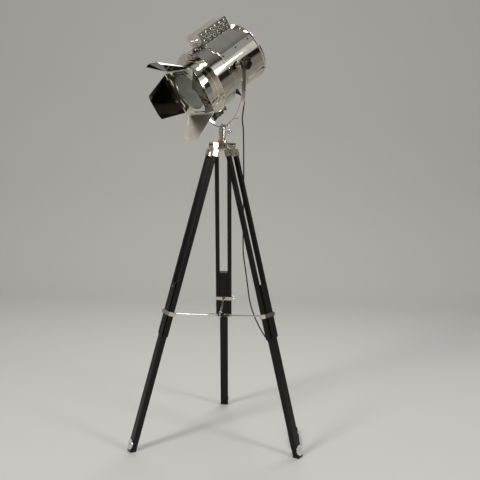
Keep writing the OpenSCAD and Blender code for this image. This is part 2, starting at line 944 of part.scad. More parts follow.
module lens_tube() {
    inner = tube_r - tube_wall;
    color(chrome)
        at_head()
            turned_x([
                [inner, bezel_front], [collar_r, bezel_front], [collar_r, bezel_front + collar_t - 1],
                [collar_r - 1, bezel_front + collar_t], [tube_r, bezel_front + collar_t],
                [tube_r, tube_end], [inner, tube_end],
                [inner, lens_back], [inner - shoulder_w, lens_back],
                [inner - shoulder_w, lens_back - shoulder_t], [inner, lens_back - shoulder_t - 2]]);
}

module lens_glass() {
    color(glass)
        at_head()
            turned_x([
                [0, lens_back], [lens_edge_r, lens_back], [lens_edge_r, lens_back + lens_t - 0.6],
                [0, lens_back + lens_t]]);
}

module lens_ring() {
    from = lens_back + lens_t;
    color(nickel)
        at_head()
            turned_x([
                [lens_r + 2, from], [tube_r - tube_wall, from], [tube_r - tube_wall, from + lens_ring_t],
                [lens_r + 3, from + lens_ring_t]]);
}

module barn_frame() {
    inner_half = frame_half - frame_rail;
    color(nickel)
        at_head()
            difference() {
                union() {
                    translate([frame_a, -frame_half, -frame_half])
                        cube([frame_t, 2 * frame_half, 2 * frame_half]);
                    rod_x(tube_r + sleeve_t, frame_a - sleeve_len, frame_a, $fn = 128);
                    for (roll = [0, 90, 180, 270])
                        at_angle(roll)
                            for (side = [0, 1])
                                mirror([0, side, 0])
                                    door_lug();
                }
                frame_openings(inner_half);
                rod_x(tube_r + run_fit, frame_a - sleeve_len - 1, frame_a, $fn = 128);
                rod_x(lens_r, frame_a - 1, frame_a + frame_t + 1, $fn = 128);
                for (roll = [0, 90, 180, 270])
                    at_angle(roll)
                        translate([door_a, 0, door_u]) {
                            rod_y(door_pin_r, -door_lug_end - 1, door_lug_end + 1);
                            rod_y(knuckle_door_r + knuckle_gap, -door_relief, door_relief);
                        }
                frame_screw_places()
                    rod_x(screw_shank_r, -6, 1);
            }
}

// Gaps between the round plate and the rails of the frame
module frame_openings(inner_half) {
    corner_web = 13;
    difference() {
        translate([frame_a - 1, -inner_half, -inner_half])
            cube([frame_t + 2, 2 * inner_half, 2 * inner_half]);
        rod_x(frame_plate_r, frame_a - 2, frame_a + frame_t + 2, $fn = 128);
        for (roll = [45, 135])
            at_angle(roll)
                translate([frame_a - 2, -corner_web, -2 * inner_half])
                    cube([frame_t + 4, 2 * corner_web, 4 * inner_half]);
        rod_x(tube_r + sleeve_t, frame_a - 2, frame_a);
    }
}

module door_lug() {
    translate([door_a, 0, door_u])
        rod_y(knuckle_door_r, door_knuckle_half + flat_gap, door_lug_end);
    translate([frame_a, door_knuckle_half + flat_gap, frame_half - skin])
        cube([frame_t, door_lug_end - door_knuckle_half - flat_gap, door_u - frame_half + skin]);
}

module frame_screw_places() {
    for (side = [-1, 1])
        for (y = [-1, 1])
            translate([frame_a + frame_t, y * frame_screw_gap, side * frame_screw_r])
                children();
}

module barn_frame_fasteners() {
    color(chrome)
        at_head() {
            for (roll = [0, 90, 180, 270])
                at_angle(roll)
                    translate([door_a, 0, door_u])
                        rod_y(door_pin_r, -door_lug_end - 1, door_lug_end + 1);
            frame_screw_places() {
                rod_x(2.2, 0, 1.2);
                rod_x(screw_shank_r, -frame_t, 0.5);
            }
        }
}

module barn_door(roll, open) {
    color(dark_metal)
        at_door(roll, open)
            difference() {
                union() {
                    rod_y(knuckle_door_r, -door_knuckle_half, door_knuckle_half);
                    translate([0, 0, -door_t / 2])
                        linear_extrude(door_t)
                            polygon([
                                [0, -door_knuckle_half], [door_start, -door_knuckle_half],
                                [door_start, -door_half], [door_len, -door_tip_half],
                                [door_len, door_tip_half], [door_start, door_half],
                                [door_start, door_knuckle_half], [0, door_knuckle_half]]);
                    for (side = [0, 1])
                        mirror([0, side, 0])
                            door_wing_sheet();
                }
                rod_y(door_pin_r + run_fit, -door_half, door_half);
            }
}

// Bent wing of a door: it folds on the line from the hinge corner to the outer edge
module door_wing_sheet() {
    run = door_len - door_start;
    fall = door_half - door_tip_half;
    fold = -atan2(fall, run);
    fold_len = norm([run, fall]);
    lap = 0.5;
    inset = 3;
    tip = fold_len + door_wing * sin(fold);
    width = door_wing * cos(fold);
    translate([door_start, door_half, 0])
        rotate([0, 0, fold])
            rotate([-door_bend, 0, 0])
                translate([0, 0, -door_t / 2])
                    linear_extrude(door_t)
                        polygon([
                            [inset, -lap], [fold_len - inset / 2, -lap], [fold_len - inset / 2, lap],
                            [tip, width], [tip - 3 * inset, width], [inset, lap]]);
}

module vent_box() {
    skirt = housing_r * sin(45);
    shoulder = housing_r * sqrt(2) - vent_w;
    holes = floor((vent_front - vent_back - 20) / vent_pitch);
    rows = 3;
    row_gap = (vent_top - shoulder) / (rows + 1);
    color(nickel)
        at_head()
            difference() {
                vent_block(vent_back, vent_front, 0, skirt, shoulder);
                vent_block(vent_back + vent_wall, vent_front - vent_wall, vent_wall, skirt, shoulder);
                rod_x(housing_r, vent_back - 1, vent_front + 1, $fn = 128);
                rod_x(housing_r + 5, housing_front - 4, vent_front + 1, $fn = 128);
                rod_x(bezel_r + flat_gap, ring_front - 6 - flat_gap, vent_front + 1, $fn = 128);
                for (row = [1:rows])
                    for (k = [0:holes - (row == 2 ? 1 : 0)])
                        translate([vent_back + 10 + (k + (row == 2 ? 0.5 : 0)) * vent_pitch,
                                   0, shoulder + row * row_gap])
                            rod_y(vent_hole_r, -vent_w - 1, vent_w + 1, $fn = 16);
                vent_screw_places()
                    rod_x(screw_shank_r, -6, 1);
            }
}

// Outline of the vent box, drawn in by the sheet thickness and run along the lamp axis
module vent_block(from, to, wall, skirt, shoulder) {
    in_w = vent_w - wall;
    slope = wall * sqrt(2);
    translate([from, 0, 0])
        rotate([90, 0, 90])
            linear_extrude(to - from)
                polygon([
                    [-skirt, skirt - slope], [-in_w, shoulder - slope + wall], [-in_w, vent_top - wall - 3],
                    [-in_w + 3, vent_top - wall], [in_w - 3, vent_top - wall],
                    [in_w, vent_top - wall - 3], [in_w, shoulder - slope + wall],
                    [skirt, skirt - slope], [skirt - 8, skirt - 14], [-skirt + 8, skirt - 14]]);
}

// Thumb screws on the front of the vent box
module vent_screw_places() {
    for (y = [-14, 14])
        translate([vent_front, y, vent_top - 22])
            children();
}

module head_fasteners() {
    color(chrome)
        at_head() {
            strip_screw_places()
                small_screw(8);
            vent_screw_places() {
                rod_x(screw_shank_r, -5, 1);
                rod_x(4.2, 0, 5);
                rod_x(3, 4, 7);
            }
            translate([door_hinge_a, 0, door_hinge_u]) {
                rod_y(hinge_pin_r, -2 * hinge_half - 1, 2 * hinge_half + 1);
                for (side = [0, 1])
                    mirror([0, side, 0])
                        rod_y(hinge_pin_r + 1, 2 * hinge_half + flat_gap, 2 * hinge_half + 2);
            }
        }
}

module lamp_holder() {
    back = -housing_back - 3;
    color(dark_metal)
        at_head() {
            rod_x(holder_r, back + 3, back + holder_len);
            rod_x(holder_r + 8, back + 3, back + 6);
        }
}

module bulb() {
    base = -housing_back - 3 + holder_len;
    color("#e9e6da")
        at_head()
            turned_x([
                [0, base], [12.5, base], [12.5, base + 6], [16, base + 14], [24, base + 30],
                [bulb_r - 2, base + 40], [bulb_r, base + 50], [bulb_r - 2, base + 60],
                [bulb_r - 8, base + 70], [bulb_r - 18, base + 77], [0, base + 80]]);
}

module reflector() {
    inner = housing_r - housing_wall;
    back = -housing_back + 12;
    color(chrome)
        at_head()
            turned_x([
                [holder_r + 4, back], [34, back + 4], [52, back + 14], [70, back + 32],
                [82, back + 52], [reflector_r, back + reflector_depth], [inner, back + reflector_depth],
                [inner, back + reflector_depth + reflector_t], [reflector_r - reflector_t, back + reflector_depth + reflector_t],
                [82 - reflector_t, back + 53], [70 - reflector_t, back + 33],
                [52, back + 15.4], [34, back + 5.2], [holder_r + 4, back + 1.2]]);
}

// ---- cord ---------------------------------------------------------------

module cord_gland() {
    color(rubber)
        at_head()
            translate([gland_a, 0, 0])
                difference() {
                    at_angle(gland_angle) {
                        translate([0, 0, housing_r - 1])
                            cylinder(r = gland_flange_r, h = 6);
                        translate([0, 0, housing_r + 5])
                            cylinder(r1 = 7, r2 = cord_r + 1, h = gland_len - 5);
                        translate([0, 0, housing_r - 8])
                            cylinder(r = gland_bore_r, h = 8);
                    }
                    difference() {
                        rod_x(housing_r, -20, 20, $fn = 128);
                        at_angle(gland_angle)
                            cylinder(r = gland_bore_r, h = housing_r + 2);
                    }
                }
}

// Catmull-Rom curve through the route
function mix(a, b, c, d, t) =
    0.5 * (2 * b + (c - a) * t + (2 * a - 5 * b + 4 * c - d) * t * t
        + (3 * b - a - 3 * c + d) * t * t * t);
function pick(k) = route[max(0, min(len(route) - 1, k))];
spine = [
    for (k = [0:len(route) - 2])
        for (t = [0:cord_steps - 1])
            mix(pick(k - 1), pick(k), pick(k + 1), pick(k + 2), t / cord_steps),
    route[len(route) - 1]];
function heading(k) =
    k == 0 ? unit(route[1] - route[0])
    : unit(spine[min(len(spine) - 1, k + 1)] - spine[k - 1]);
function unit(v) = v / norm(v);
function ring_at(k, along) =
    let (t = heading(k))
    let (s = unit(cross(t, [0.3, 1, 0.1])))
    let (n = cross(s, t))
    [for (j = [0:cord_sides - 1])
        spine[k] + along * t + cord_r * (cos(j * 360 / cord_sides) * s + sin(j * 360 / cord_sides) * n)];

module cord_tube(from, to) {
    rings = to - from + 1;
    last = (rings - 1) * cord_sides;
    points = [for (k = [from:to]) each ring_at(k, k == from && k > 0 ? cord_joint_gap : 0)];
    sides = [
        for (k = [0:rings - 2])
            for (j = [0:cord_sides - 1])
                let (n = (j + 1) % cord_sides)
                [k * cord_sides + j, (k + 1) * cord_sides + j,
                 (k + 1) * cord_sides + n, k * cord_sides + n]];
    caps = [
        [for (j = [0:cord_sides - 1]) j],
        [for (j = [0:cord_sides - 1]) last + cord_sides - 1 - j]];
    color(rubber)
        polyhedron(points, concat(sides, caps));
}

module cord_upper() {
    cord_tube(0, upper_end);
}

module cord_middle() {
    cord_tube(upper_end, middle_end);
}

module cord_lower() {
    cord_tube(middle_end, len(spine) - 1);
}

module cord_hank() {
    color(rubber)
        linear_extrude(hank_h) {
            for (y = [hank_near + hank_end_r, hank_far - hank_end_r])
                translate([hank_x, y])
                    circle(r = hank_end_r);
            translate([hank_x - hank_end_r, hank_near + hank_end_r])
                square([2 * hank_end_r, hank_run]);
        }
}

module plug() {
    start = hank_far - 2;
    color(rubber)
        translate([hank_x, start, plug_r]) {
            translate([0, 0, cord_r - plug_r])
                rod_y(cord_r + 0.8, 0, plug_tail + 2);
            translate([0, plug_tail, 0])
                rotate([-90, 0, 0])
                    cylinder(r1 = plug_r - 3, r2 = plug_r, h = 6);
            rod_y(plug_r, plug_tail + 5, plug_tail + plug_len);
            for (side = [-1, 1])
                translate([side * pin_gap, 0, 0])
                    rod_y(pin_r, plug_tail + plug_len - 1, plug_tail + plug_len + pin_len);
        }
}

// Ring of a cord clip, round the cord, with its foot towards the leg
module clip_ring() {
    outer = cord_r + clip_gap + clip_wall;
    translate([-clip_x, 0, -clip_h / 2])
        cylinder(r = outer, h = clip_h);
    translate([-clip_x, -outer, -clip_h / 2])
        cube([clip_x - lower_d / 2 - flat_gap, 2 * outer, clip_h]);
}

module clip_hole() {
    translate([-clip_x, 0, -clip_h])
        cylinder(r = cord_r + clip_bore_gap, h = 2 * clip_h);
}

module rail_cord_clip() {
    strip_x = lower_d / 2 + flat_gap;
    color(nickel)
        at_leg(RIGHT)
            difference() {
                union() {
                    translate([0, rail_clip_y, -rail_clip_s])
                        clip_ring();
                    translate([-strip_x - clip_wall, rail_clip_y, -rail_clip_s - clip_h / 2])
                        cube([clip_wall, rail_y - rail_clip_y + 4, clip_h]);
                    translate([-strip_x - clip_wall, rail_y - 4, -rail_clip_s - clip_h / 2])
                        cube([clip_wall, 8, rail_clip_s - rail_end + clip_h / 2 + 14]);
                    translate([-strip_x, rail_y - 4, -rail_end + 1])
                        cube([strip_x - rail_d / 2, 8, 13]);
                }
                translate([0, rail_clip_y, -rail_clip_s])
                    clip_hole();
            }
}

module foot_cord_clip() {
    color(nickel)
        at_leg(RIGHT)
            difference() {
                union() {
                    translate([0, foot_clip_y, -foot_clip_s])
                        clip_ring();
                    translate([-lower_d / 2 - clip_wall, foot_clip_y - 8, -foot_clip_s - clip_h / 2])
                        cube([clip_wall, 16, clip_h]);
                }
                translate([0, foot_clip_y, -foot_clip_s])
                    clip_hole();
            }
}

// ---- nodes --------------------------------------------------------------

rails(REAR, -1);  // rear_rails
leg_cap(REAR);  // rear_leg_cap
hinge_pins(REAR);  // rear_hinge_pins
lower_leg(REAR);  // rear_lower_leg
strap_clamp(REAR, -1);  // rear_strap_clamp
wing_screw(REAR, -1);  // rear_wing_screw
strut(REAR);  // rear_strut
foot_fittings(REAR);  // rear_foot_fittings
rails(RIGHT, 1);  // right_rails
leg_cap(RIGHT);  // right_leg_cap
hinge_pins(RIGHT);  // right_hinge_pins
lower_leg(RIGHT);  // right_lower_leg
strap_clamp(RIGHT, 1);  // right_strap_clamp
wing_screw(RIGHT, 1);  // right_wing_screw
strut(RIGHT);  // right_strut
foot_fittings(RIGHT);  // right_foot_fittings
rails(LEFT, -1);  // left_rails
leg_cap(LEFT);  // left_leg_cap
hinge_pins(LEFT);  // left_hinge_pins
lower_leg(LEFT);  // left_lower_leg
strap_clamp(LEFT, -1);  // left_strap_clamp
wing_screw(LEFT, -1);  // left_wing_screw
strut(LEFT);  // left_strut
foot_fittings(LEFT);  // left_foot_fittings
head_plate();
neck_socket();
socket_screw();
spreader_hub();
yoke_post();
yoke();
tilt_knob(1);  // near_tilt_knob
tilt_knob(-1);  // far_tilt_knob
housing_shell();
rear_cover();
front_ring();
front_door();
latch_knob();
lens_tube();
lens_glass();
lens_ring();
barn_frame();
barn_frame_fasteners();
barn_door(0, top_open);  // top_barn_door
barn_door(180, bottom_open);  // bottom_barn_door
barn_door(-90, left_open);  // left_barn_door
barn_door(90, right_open);  // right_barn_door
vent_box();
side_strips();
head_fasteners();
lamp_holder();
bulb();
reflector();
cord_gland();
cord_upper();
cord_middle();
cord_lower();
cord_hank();
plug();
rail_cord_clip();
foot_cord_clip();
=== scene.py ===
"""Tripod spotlight floor lamp: finishes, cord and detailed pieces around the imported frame."""
import json
from math import atan2, cos, hypot, pi, radians, sin, tau

import bmesh
import bpy
from mathutils import Matrix, Vector


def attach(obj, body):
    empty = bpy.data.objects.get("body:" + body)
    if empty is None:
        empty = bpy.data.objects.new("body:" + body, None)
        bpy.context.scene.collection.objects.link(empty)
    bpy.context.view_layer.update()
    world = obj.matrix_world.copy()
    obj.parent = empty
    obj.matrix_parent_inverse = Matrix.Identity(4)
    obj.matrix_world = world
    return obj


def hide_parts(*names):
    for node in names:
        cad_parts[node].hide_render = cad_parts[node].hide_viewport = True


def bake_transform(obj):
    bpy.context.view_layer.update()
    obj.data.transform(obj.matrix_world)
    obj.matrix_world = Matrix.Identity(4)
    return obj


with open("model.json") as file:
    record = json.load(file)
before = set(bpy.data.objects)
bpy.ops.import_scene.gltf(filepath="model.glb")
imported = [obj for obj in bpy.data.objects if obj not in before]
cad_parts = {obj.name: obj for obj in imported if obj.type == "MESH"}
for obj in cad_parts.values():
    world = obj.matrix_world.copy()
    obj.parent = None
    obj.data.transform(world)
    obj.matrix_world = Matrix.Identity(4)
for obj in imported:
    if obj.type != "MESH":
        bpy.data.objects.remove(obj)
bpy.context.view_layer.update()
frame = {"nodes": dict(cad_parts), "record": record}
bpy.ops.object.select_all(action="DESELECT")

MM = 0.001


# ---- sizes that the frame has too, in mm and degrees -----------------------------

# tripod: the legs' hinge pins above the floor and from the middle, and how far the legs lean
PIVOT_H = 1135
PIVOT_R = 36.7
LEG_LEAN = 15.8
# each leg's direction, and the side that its wing screw is on
LEGS = {"rear": (90, -1), "right": (-30, 1), "left": (210, -1)}
# strap clamps: from the hinge pin down the leg, and half their width
CLAMP_S = 646
CLAMP_SIDE = 33.85
SOCKET_SCREW_Z = 1190

# lamp head: +X is its front, and the tilt axis runs along Y through its origin
HEAD_PAN = 220
HEAD_TILT = 34.5
HEAD_Z = 1430
YOKE_RO = 127.7
HOUSING_R = 107
RING_FRONT = 66
BEZEL_R = 118
BEZEL_HINGE_RISE = 6.5

# side strips: their angle from the top, their face, and the screws along them
STRIP_ANGLE = 60.5
STRIP_TOP = 108.6
STRIP_SCREW_Y = 3.7
STRIP_SCREWS = (43.7, -21.7, -86.8)

# latch knob: its place across and up, its seat, its radius, and its stud behind the seat
LATCH_Y, LATCH_U = -24, -141
LATCH_FROM = 117.3
LATCH_R = 12.5
LATCH_STUD = 51

# barn door frame: its face, its screws above and below the middle, and half the gap in a pair
FRAME_FRONT = 183.6
FRAME_SCREW_R, FRAME_SCREW_GAP = 76, 7
# barn doors: the hinge pin's place, the leaf from root to tip, and its bent wings
DOOR_A = 182.3
DOOR_U = 91.4
DOOR_PIN_HALF = 71
DOOR_START = 3.4
DOOR_LEN = 100
DOOR_HALF = 80
DOOR_TIP_HALF = 29
DOOR_T = 1.2
DOOR_WING = 22
DOOR_BEND = 28
KNUCKLE_HALF = 58
KNUCKLE_R = 2.6
# each door's place round the lens tube, and how far it stands open
DOORS = {"top": (0, 42), "right": (90, 45), "bottom": (180, 36), "left": (-90, 12)}

# vent box: half its width, its top and ends, its rows of holes, and its thumb screws
VENT_W = 38
VENT_TOP = 160
VENT_FRONT = 62
VENT_BACK = -80
VENT_MARGIN = 10
VENT_PITCH = 23
VENT_HOLE_R = 4.5
THUMB_SIDE, THUMB_DROP = 14, 22

# cord: its gland on the housing, its folded hank on the floor, and its plug
CORD_R = 2.5
GLAND_A = 42.5
GLAND_ANGLE = 141
GLAND_LEN = 18
HANK_X = 302
HANK_NEAR = -108
HANK_RUN = 90
HANK_BEND = 15
HANK_TURNS = 3
PLUG_R = 14
PLUG_LEN = 26
PLUG_TAIL = 10
PIN_SIDE = 9.5


# ---- places ----------------------------------------------------------------------

def move(x, y, z):
    return Matrix.Translation((x * MM, y * MM, z * MM))


def turn(angle, axis):
    return Matrix.Rotation(radians(angle), 4, axis)


def leg_frame(azimuth):
    """Pivot at the origin, the leg runs down -Z, outwards is +X."""
    return turn(azimuth, "Z") @ move(PIVOT_R, 0, PIVOT_H) @ turn(-LEG_LEAN, "Y")


YOKE = turn(HEAD_PAN, "Z") @ move(0, 0, HEAD_Z)
HEAD = YOKE @ turn(HEAD_TILT, "Y")

# these lay a piece turned about Z along X or Y
ALONG_X = turn(90, "Y")
ALONG_Y = turn(-90, "X")


def around(angle):
    """Turns +Z to a place around the housing, in degrees from its top."""
    return turn(-angle, "X")


def hinge_frame(roll):
    """A door's hinge: its pin runs along Y."""
    return HEAD @ around(roll) @ move(DOOR_A, 0, DOOR_U)


# ---- camera and light ------------------------------------------------------------

CAMERA_PLACE = (0.194616, -2.662898, 1.0950)
CAMERA_RIGHT = (0.99871749, 0.04757052, 0.01733251)
CAMERA_UP = (-0.02276215, 0.11608348, 0.9929786)
CAMERA_LENS, CAMERA_SENSOR = 52.5, 36


def make_camera():
    """The photograph's view: the tripod seen from just above its middle."""
    right, up = Vector(CAMERA_RIGHT), Vector(CAMERA_UP)
    place = Matrix((right, up, right.cross(up))).transposed().to_4x4()
    place.translation = Vector(CAMERA_PLACE)
    data = bpy.data.cameras.new("camera")
    data.lens = CAMERA_LENS
    data.sensor_width = CAMERA_SENSOR
    camera = bpy.data.objects.new("camera", data)
    camera.matrix_world = place
    bpy.context.scene.collection.objects.link(camera)
    bpy.context.scene.camera = camera


def area_light(name, place, target, size, power, colour):
    data = bpy.data.lights.new(name, "AREA")
    data.shape = "RECTANGLE"
    data.size, data.size_y = size
    data.energy = power
    data.color = colour
    lamp = bpy.data.objects.new(name, data)
    lamp.location = place
    lamp.rotation_euler = (Vector(target) - Vector(place)).to_track_quat("-Z", "Y").to_euler()
    bpy.context.scene.collection.objects.link(lamp)


# ---- material helpers ------------------------------------------------------------

# most of a noise pattern's values lie between these two
NOISE_LOW, NOISE_HIGH = 0.3, 0.7


def linear(hex_colour):
    """sRGB hex value to linear RGBA."""
    parts = [int(hex_colour[k:k + 2], 16) / 255 for k in (1, 3, 5)]
    return [c / 12.92 if c <= 0.04045 else ((c + 0.055) / 1.055) ** 2.4 for c in parts] + [1]


def per_metre(size):
    """Noise scale for marks of this size in mm."""
    return 1 / (size * MM)


def add(tree, kind, links=None, into=None, **settings):
    """Adds a node. Settings name its properties or inputs, links its inputs, and into is the
    socket that takes its first output."""
    node = tree.nodes.new(kind)
    for key, value in settings.items():
        if hasattr(node, key):
            setattr(node, key, value)
        else:
            node.inputs[key.replace("_", " ")].default_value = value
    for key, source in (links or {}).items():
        tree.links.new(source, node.inputs[key])
    if into is not None:
        tree.links.new(node.outputs[0], into)
    return node


def start_material(name, **shader):
    """A new material, its nodes, and its shader's sockets with these values set."""
    material = bpy.data.materials.new(name)
    material.use_nodes = True
    sockets = material.node_tree.nodes["Principled BSDF"].inputs
    for key, value in shader.items():
        sockets[key.replace("_", " ")].default_value = value
    return material, material.node_tree, sockets


def clouded(tree, sockets, tone, colours, haze, gloss, tone_range=(NOISE_LOW, NOISE_HIGH)):
    """Tone, a 0-1 pattern, blends the base colour between two hex colours. Haze, another one,
    takes the roughness between the two values of gloss."""
    blend = add(tree, "ShaderNodeValToRGB", {"Fac": tone}, sockets["Base Color"])
    for end, position, colour in zip(blend.color_ramp.elements, tone_range, colours):
        end.position = position
        end.color = linear(colour)
    add(tree, "ShaderNodeMapRange", {"Value": haze}, sockets["Roughness"],
        From_Min=NOISE_LOW, From_Max=NOISE_HIGH, To_Min=gloss[0], To_Max=gloss[1])


# ---- finishes --------------------------------------------------------------------

def polished_metal(name, colours, gloss, wave, wave_depth):
    """Hand-polished nickel plate: shallow waves of the buffing, wave mm long, bend its
    reflections, and 40 mm haze and 6 mm fingermarks change its gloss."""
    haze_size, mark_size = 40, 6
    material, tree, sockets = start_material(name, Metallic=1.0)
    where = {"Vector": add(tree, "ShaderNodeTexCoord").outputs["Object"]}
    haze = add(tree, "ShaderNodeTexNoise", where, Scale=per_metre(haze_size), Detail=4.0)
    marks = add(tree, "ShaderNodeTexNoise", where, Scale=per_metre(mark_size), Detail=2.0)
    both = add(tree, "ShaderNodeMath", {0: haze.outputs["Fac"], 1: marks.outputs["Fac"]},
               operation="ADD")
    mean = add(tree, "ShaderNodeMath", {0: both.outputs[0]}, operation="MULTIPLY")
    mean.inputs[1].default_value = 0.5
    clouded(tree, sockets, haze.outputs["Fac"], colours, mean.outputs[0], gloss, (0.3, 0.75))
    waves = add(tree, "ShaderNodeTexNoise", where, Scale=per_metre(wave), Detail=1.0)
    add(tree, "ShaderNodeBump", {"Height": waves.outputs["Fac"]}, sockets["Normal"],
        Strength=1.0, Distance=wave_depth * MM)
    return material


def cast_nickel():
    """Sand-cast fittings, tumbled and nickel plated: satin, with a faint skin of the sand,
    drawn coarser than its grit so that it shows."""
    haze_size, skin_size, skin_depth = 18, 1.2, 0.05
    material, tree, sockets = start_material("satin_nickel_casting", Metallic=1.0)
    where = {"Vector": add(tree, "ShaderNodeTexCoord").outputs["Object"]}
    haze = add(tree, "ShaderNodeTexNoise", where, Scale=per_metre(haze_size), Detail=5.0)
    skin = add(tree, "ShaderNodeTexNoise", where, Scale=per_metre(skin_size), Detail=3.0)
    clouded(tree, sockets, haze.outputs["Fac"], ("#e8e2d5", "#c8c0b0"),
            haze.outputs["Fac"], (0.12, 0.24))
    add(tree, "ShaderNodeBump", {"Height": skin.outputs["Fac"]}, sockets["Normal"],
        Strength=1.0, Distance=skin_depth * MM)
    return material


def chrome():
    """Chromium-plated steel: the brightest and smoothest metal, with dust in its gloss."""
    dust_size = 9
    material, tree, sockets = start_material("chromed_steel", Metallic=1.0,
                                             Base_Color=linear("#dddddc"))
    where = {"Vector": add(tree, "ShaderNodeTexCoord").outputs["Object"]}
    dust = add(tree, "ShaderNodeTexNoise", where, Scale=per_metre(dust_size), Detail=6.0)
    add(tree, "ShaderNodeMapRange", {"Value": dust.outputs["Fac"]}, sockets["Roughness"],
        From_Min=NOISE_LOW, From_Max=NOISE_HIGH, To_Min=0.05, To_Max=0.16)
    return material


def black_lacquered_wood():
    """Beech rails stained black under satin lacquer: the grain stays as long furrows, drawn
    coarser than beech's own so that they show, and the lacquer is duller where hands rub it."""
    furrow_width, furrow_depth, figure_size, wear_size = 1.6, 0.12, 14, 45
    furrow_stretch = 0.03  # along the legs, so a furrow is about 50 mm long
    material, tree, sockets = start_material(
        "black_lacquered_beech", Coat_Weight=0.1, Coat_Roughness=0.22, Specular_IOR_Level=0.3,
        IOR=1.45)
    place = {"Vector": add(tree, "ShaderNodeTexCoord").outputs["Object"]}
    along = {"Vector": add(tree, "ShaderNodeMapping", place,
                           Scale=(1, 1, furrow_stretch)).outputs["Vector"]}
    grain = add(tree, "ShaderNodeTexNoise", along, Scale=per_metre(furrow_width), Detail=3.0,
                Distortion=0.4)
    figure = add(tree, "ShaderNodeTexNoise", along, Scale=per_metre(figure_size), Detail=4.0)
    wear = add(tree, "ShaderNodeTexNoise", place, Scale=per_metre(wear_size), Detail=5.0)
    clouded(tree, sockets, figure.outputs["Fac"], ("#030303", "#080706"),
            wear.outputs["Fac"], (0.3, 0.48), (0.35, 0.7))
    add(tree, "ShaderNodeBump", {"Height": grain.outputs["Fac"]}, sockets["Normal"],
        Strength=1.0, Distance=furrow_depth * MM)
    return material


def dark_nickel_and_painted_shade(name, colours, gloss):
    """Black nickel plating of the knobs and screws: deep warm grey, clouded where the bright metal
    shines through. On the barn leaves the same dark sheet is painted shade.
    """
    cloud_size, wave_size, wave_depth = 60, 45, 0.5
    material, tree, sockets = start_material(name, Metallic=1.0)
    where = {"Vector": add(tree, "ShaderNodeTexCoord").outputs["Object"]}
    cloud = add(tree, "ShaderNodeTexNoise", where, Scale=per_metre(cloud_size), Detail=3.0)
    waves = add(tree, "ShaderNodeTexNoise", where, Scale=per_metre(wave_size), Detail=1.0)
    clouded(tree, sockets, cloud.outputs["Fac"], colours, cloud.outputs["Fac"], gloss,
            (0.3, 0.75))
    add(tree, "ShaderNodeBump", {"Height": waves.outputs["Fac"]}, sockets["Normal"],
        Strength=1.0, Distance=wave_depth * MM)
    return material


def satin_strip():
    """Satin nickel strip: a fine even blur dulls its reflections, drawn coarser than the
    blasting's own marks so that it shows."""
    blur_size, blur_depth = 2.5, 0.04
    material, tree, sockets = start_material("satin_nickel_strip", Metallic=1.0)
    where = {"Vector": add(tree, "ShaderNodeTexCoord").outputs["Object"]}
    blur = add(tree, "ShaderNodeTexNoise", where, Scale=per_metre(blur_size), Detail=3.0)
    clouded(tree, sockets, blur.outputs["Fac"], ("#c9c9c4", "#b2b2ad"),
            blur.outputs["Fac"], (0.34, 0.46))
    add(tree, "ShaderNodeBump", {"Height": blur.outputs["Fac"]}, sockets["Normal"],
        Strength=1.0, Distance=blur_depth * MM)
    return material


def frosted_glass():
    """Etched lens glass: matt grey, with the lamp's dark chamber behind, and an even grain
    that is drawn coarser than the etching so that it shows."""
    grain_size, grain_depth, cloud_size = 0.8, 0.03, 50
    material, tree, sockets = start_material("etched_lens_glass", IOR=1.5,
                                             Transmission_Weight=0.25)
    where = {"Vector": add(tree, "ShaderNodeTexCoord").outputs["Object"]}
    grain = add(tree, "ShaderNodeTexNoise", where, Scale=per_metre(grain_size), Detail=2.0)
    cloud = add(tree, "ShaderNodeTexNoise", where, Scale=per_metre(cloud_size), Detail=2.0)
    clouded(tree, sockets, cloud.outputs["Fac"], ("#83867f", "#939690"),
            cloud.outputs["Fac"], (0.38, 0.5))
    add(tree, "ShaderNodeBump", {"Height": grain.outputs["Fac"]}, sockets["Normal"],
        Strength=1.0, Distance=grain_depth * MM)
    return material


def bulb_glass():
    """Opal bulb: milky glass, smooth, with a little light passing through."""
    cloud_size = 20
    material, tree, sockets = start_material("opal_bulb_glass", IOR=1.5,
                                             Transmission_Weight=0.3)
    where = {"Vector": add(tree, "ShaderNodeTexCoord").outputs["Object"]}
    cloud = add(tree, "ShaderNodeTexNoise", where, Scale=per_metre(cloud_size), Detail=2.0)
    clouded(tree, sockets, cloud.outputs["Fac"], ("#efece1", "#f6f4ec"),
            cloud.outputs["Fac"], (0.2, 0.3))
    return material


def black_pvc():
    """Extruded and moulded PVC: matt black with dust, and a fine grit from the tools, drawn
    coarser than it is so that it shows."""
    grit_size, grit_depth, cloud_size = 0.9, 0.06, 25
    material, tree, sockets = start_material("black_pvc", IOR=1.52)
    where = {"Vector": add(tree, "ShaderNodeTexCoord").outputs["Object"]}
    grit = add(tree, "ShaderNodeTexNoise", where, Scale=per_metre(grit_size), Detail=3.0)
    cloud = add(tree, "ShaderNodeTexNoise", where, Scale=per_metre(cloud_size), Detail=4.0)
    clouded(tree, sockets, cloud.outputs["Fac"], ("#121212", "#1e1d1c"),
            cloud.outputs["Fac"], (0.42, 0.6))
    add(tree, "ShaderNodeBump", {"Height": grit.outputs["Fac"]}, sockets["Normal"],
        Strength=1.0, Distance=grit_depth * MM)
    return material


